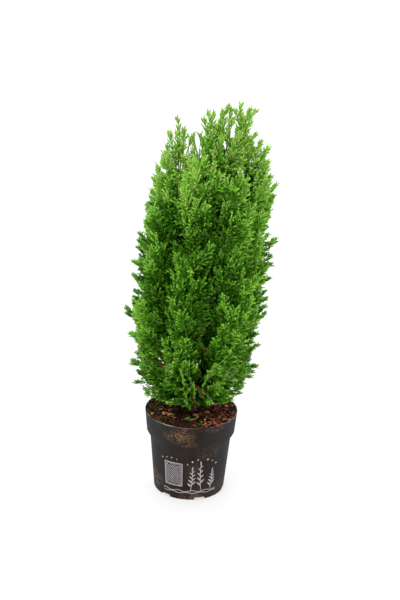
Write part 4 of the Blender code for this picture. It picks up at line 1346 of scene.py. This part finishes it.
def build_print():
    """A plain design of our own in pale ink: a latticed panel, leafy stalks, dots and waves."""
    pile = Pile()
    left, right, low, high = PANEL
    for inset, width in ((0.0, 1.1), (1.8, 0.5)):
        ring = (
            (left + inset, low + inset), (right - inset, low + inset), (right - inset, high - inset),
            (left + inset, high - inset), (left + inset, low + inset - width / 2),
        )
        for start, end in zip(ring, ring[1:]):
            stroke(pile, [
                (start[0] + (end[0] - start[0]) * i / 8, start[1] + (end[1] - start[1]) * i / 8)
                for i in range(9)
            ], width)
    inner = (left + 2.6, right - 2.6, low + 2.6, high - 2.6)
    for slope in (1, -1):
        for step in range(-12, 13):
            line = [
                (across, (inner[2] + inner[3]) / 2 + slope * (across - (left + right) / 2) + step * 3.6)
                for across in np.linspace(inner[0], inner[1], 15)
            ]
            line = [spot for spot in line if inner[2] <= spot[1] <= inner[3]]
            if len(line) > 1:
                stroke(pile, line, 0.45)
    for foot, height, sway in STALKS:
        line = [
            (foot + sway * math.sin(i / 10 * 2.2), GROUND_LINE + height * i / 10) for i in range(11)
        ]
        stroke(pile, line, 0.8)
        for index in range(2, 10):
            side = 1 if index % 2 else -1
            size = 8.5 - 0.5 * index
            leaf_print(pile, line[index], side * math.radians(48), size, size * 0.42)
        leaf_print(pile, line[-1], sway * 0.05, 6.0, 2.6)
    for across, height, radius in DOTS:
        plate(pile, (across, height), [
            (across + radius * math.cos(i * math.pi / 6), height + radius * math.sin(i * math.pi / 6))
            for i in range(12)
        ])
    for drop, swing in ((0.0, 0.9), (2.6, 0.7)):
        stroke(pile, [
            (across, GROUND_LINE - 1.2 - drop + swing * math.sin(across / 3.1 + drop))
            for across in np.linspace(-37, 40, 60)
        ], 0.8)
    ink = finish("pot_ink", ((0.360, 0.345, 0.350), (0.520, 0.500, 0.505)), 260.0, (0.6, 0.8), gloss=0.2)
    pile.build("pot_print", ink, "pot_plastic")


# The studio: the floor glows more further from the plant, and the walls more than the sky above.
SWEEP = (1.2, 4.0)
FLOOR_GLOW = (0.62, 1.0)
WALL_TOP = (0.06, 0.30)
SKY_GLOW = (1.0, 0.30)


def build_stage():
    """A pale floor, soft studio light and the camera at the photograph's angle."""
    bpy.ops.mesh.primitive_plane_add(size=24.0)
    floor = bpy.context.object
    floor.name = "floor"
    pale = finish("floor", ((0.20, 0.20, 0.20), (0.21, 0.21, 0.21)), 3.0, (0.8, 0.9))
    nodes = pale.node_tree.nodes
    glow = nodes["Principled BSDF"]
    glow.inputs["Emission Color"].default_value = (1.0, 1.0, 1.0, 1.0)
    place = next(node for node in nodes if node.type == "TEX_COORD").outputs["Object"]
    away = nodes.new("ShaderNodeVectorMath")
    away.operation = "LENGTH"
    pale.node_tree.links.new(place, away.inputs[0])
    sweep = range_node(pale, away.outputs["Value"], *SWEEP)
    sweep = math_node(pale, "MULTIPLY", sweep, FLOOR_GLOW[1] - FLOOR_GLOW[0])
    sweep = math_node(pale, "ADD", sweep, FLOOR_GLOW[0])
    pale.node_tree.links.new(sweep, glow.inputs["Emission Strength"])
    floor.data.materials.append(pale)
    world = bpy.data.worlds.new("studio")
    world.use_nodes = True
    sky = world.node_tree.nodes["Background"]
    sky.inputs["Color"].default_value = (1.0, 1.0, 1.0, 1.0)
    way = world.node_tree.nodes.new("ShaderNodeTexCoord")
    axes = world.node_tree.nodes.new("ShaderNodeSeparateXYZ")
    world.node_tree.links.new(way.outputs["Generated"], axes.inputs["Vector"])
    dim = range_node(world, axes.outputs["Z"], *WALL_TOP)
    dim = math_node(world, "MULTIPLY", dim, SKY_GLOW[1] - SKY_GLOW[0])
    dim = math_node(world, "ADD", dim, SKY_GLOW[0])
    world.node_tree.links.new(dim, sky.inputs["Strength"])
    bpy.context.scene.world = world
    for name, place, size, power in (
        ("ceiling", (0.0, 1.5, 4.0), 9.0, 760.0),
        ("key", (-0.5, -1.1, 2.1), 1.0, 26.0),
        ("fill", (1.5, -1.6, 1.0), 1.4, 7.0),
    ):
        light = bpy.data.lights.new(name, "AREA")
        light.size = size
        light.energy = power
        holder = bpy.data.objects.new(name, light)
        holder.location = place
        aim = Vector((0.0, 0.0, 0.28)) - Vector(place)
        holder.rotation_mode = "QUATERNION"
        holder.rotation_quaternion = aim.to_track_quat("-Z", "Y")
        bpy.context.scene.collection.objects.link(holder)
    lens = bpy.data.cameras.new("camera")
    lens.lens = 86.67
    lens.sensor_width = 36.0
    camera = bpy.data.objects.new("camera", lens)
    bpy.context.scene.collection.objects.link(camera)
    camera.location = Vector((6.03, -1700.0, 914.06)) * MM
    pitch = math.radians(21.02)
    aim = Vector((0.0, math.cos(pitch), -math.sin(pitch)))
    camera.rotation_mode = "QUATERNION"
    camera.rotation_quaternion = (
        aim.to_track_quat("-Z", "Y") @ Quaternion((0, 0, 1), 0.03676)
    )
    bpy.context.scene.camera = camera
    bpy.context.scene.view_settings.view_transform = "Standard"


def main():
    plumes = make_plumes()
    build_stage()
    dress_pot()
    build_mix()
    build_limbs(plumes)
    build_foliage(plumes)


main()
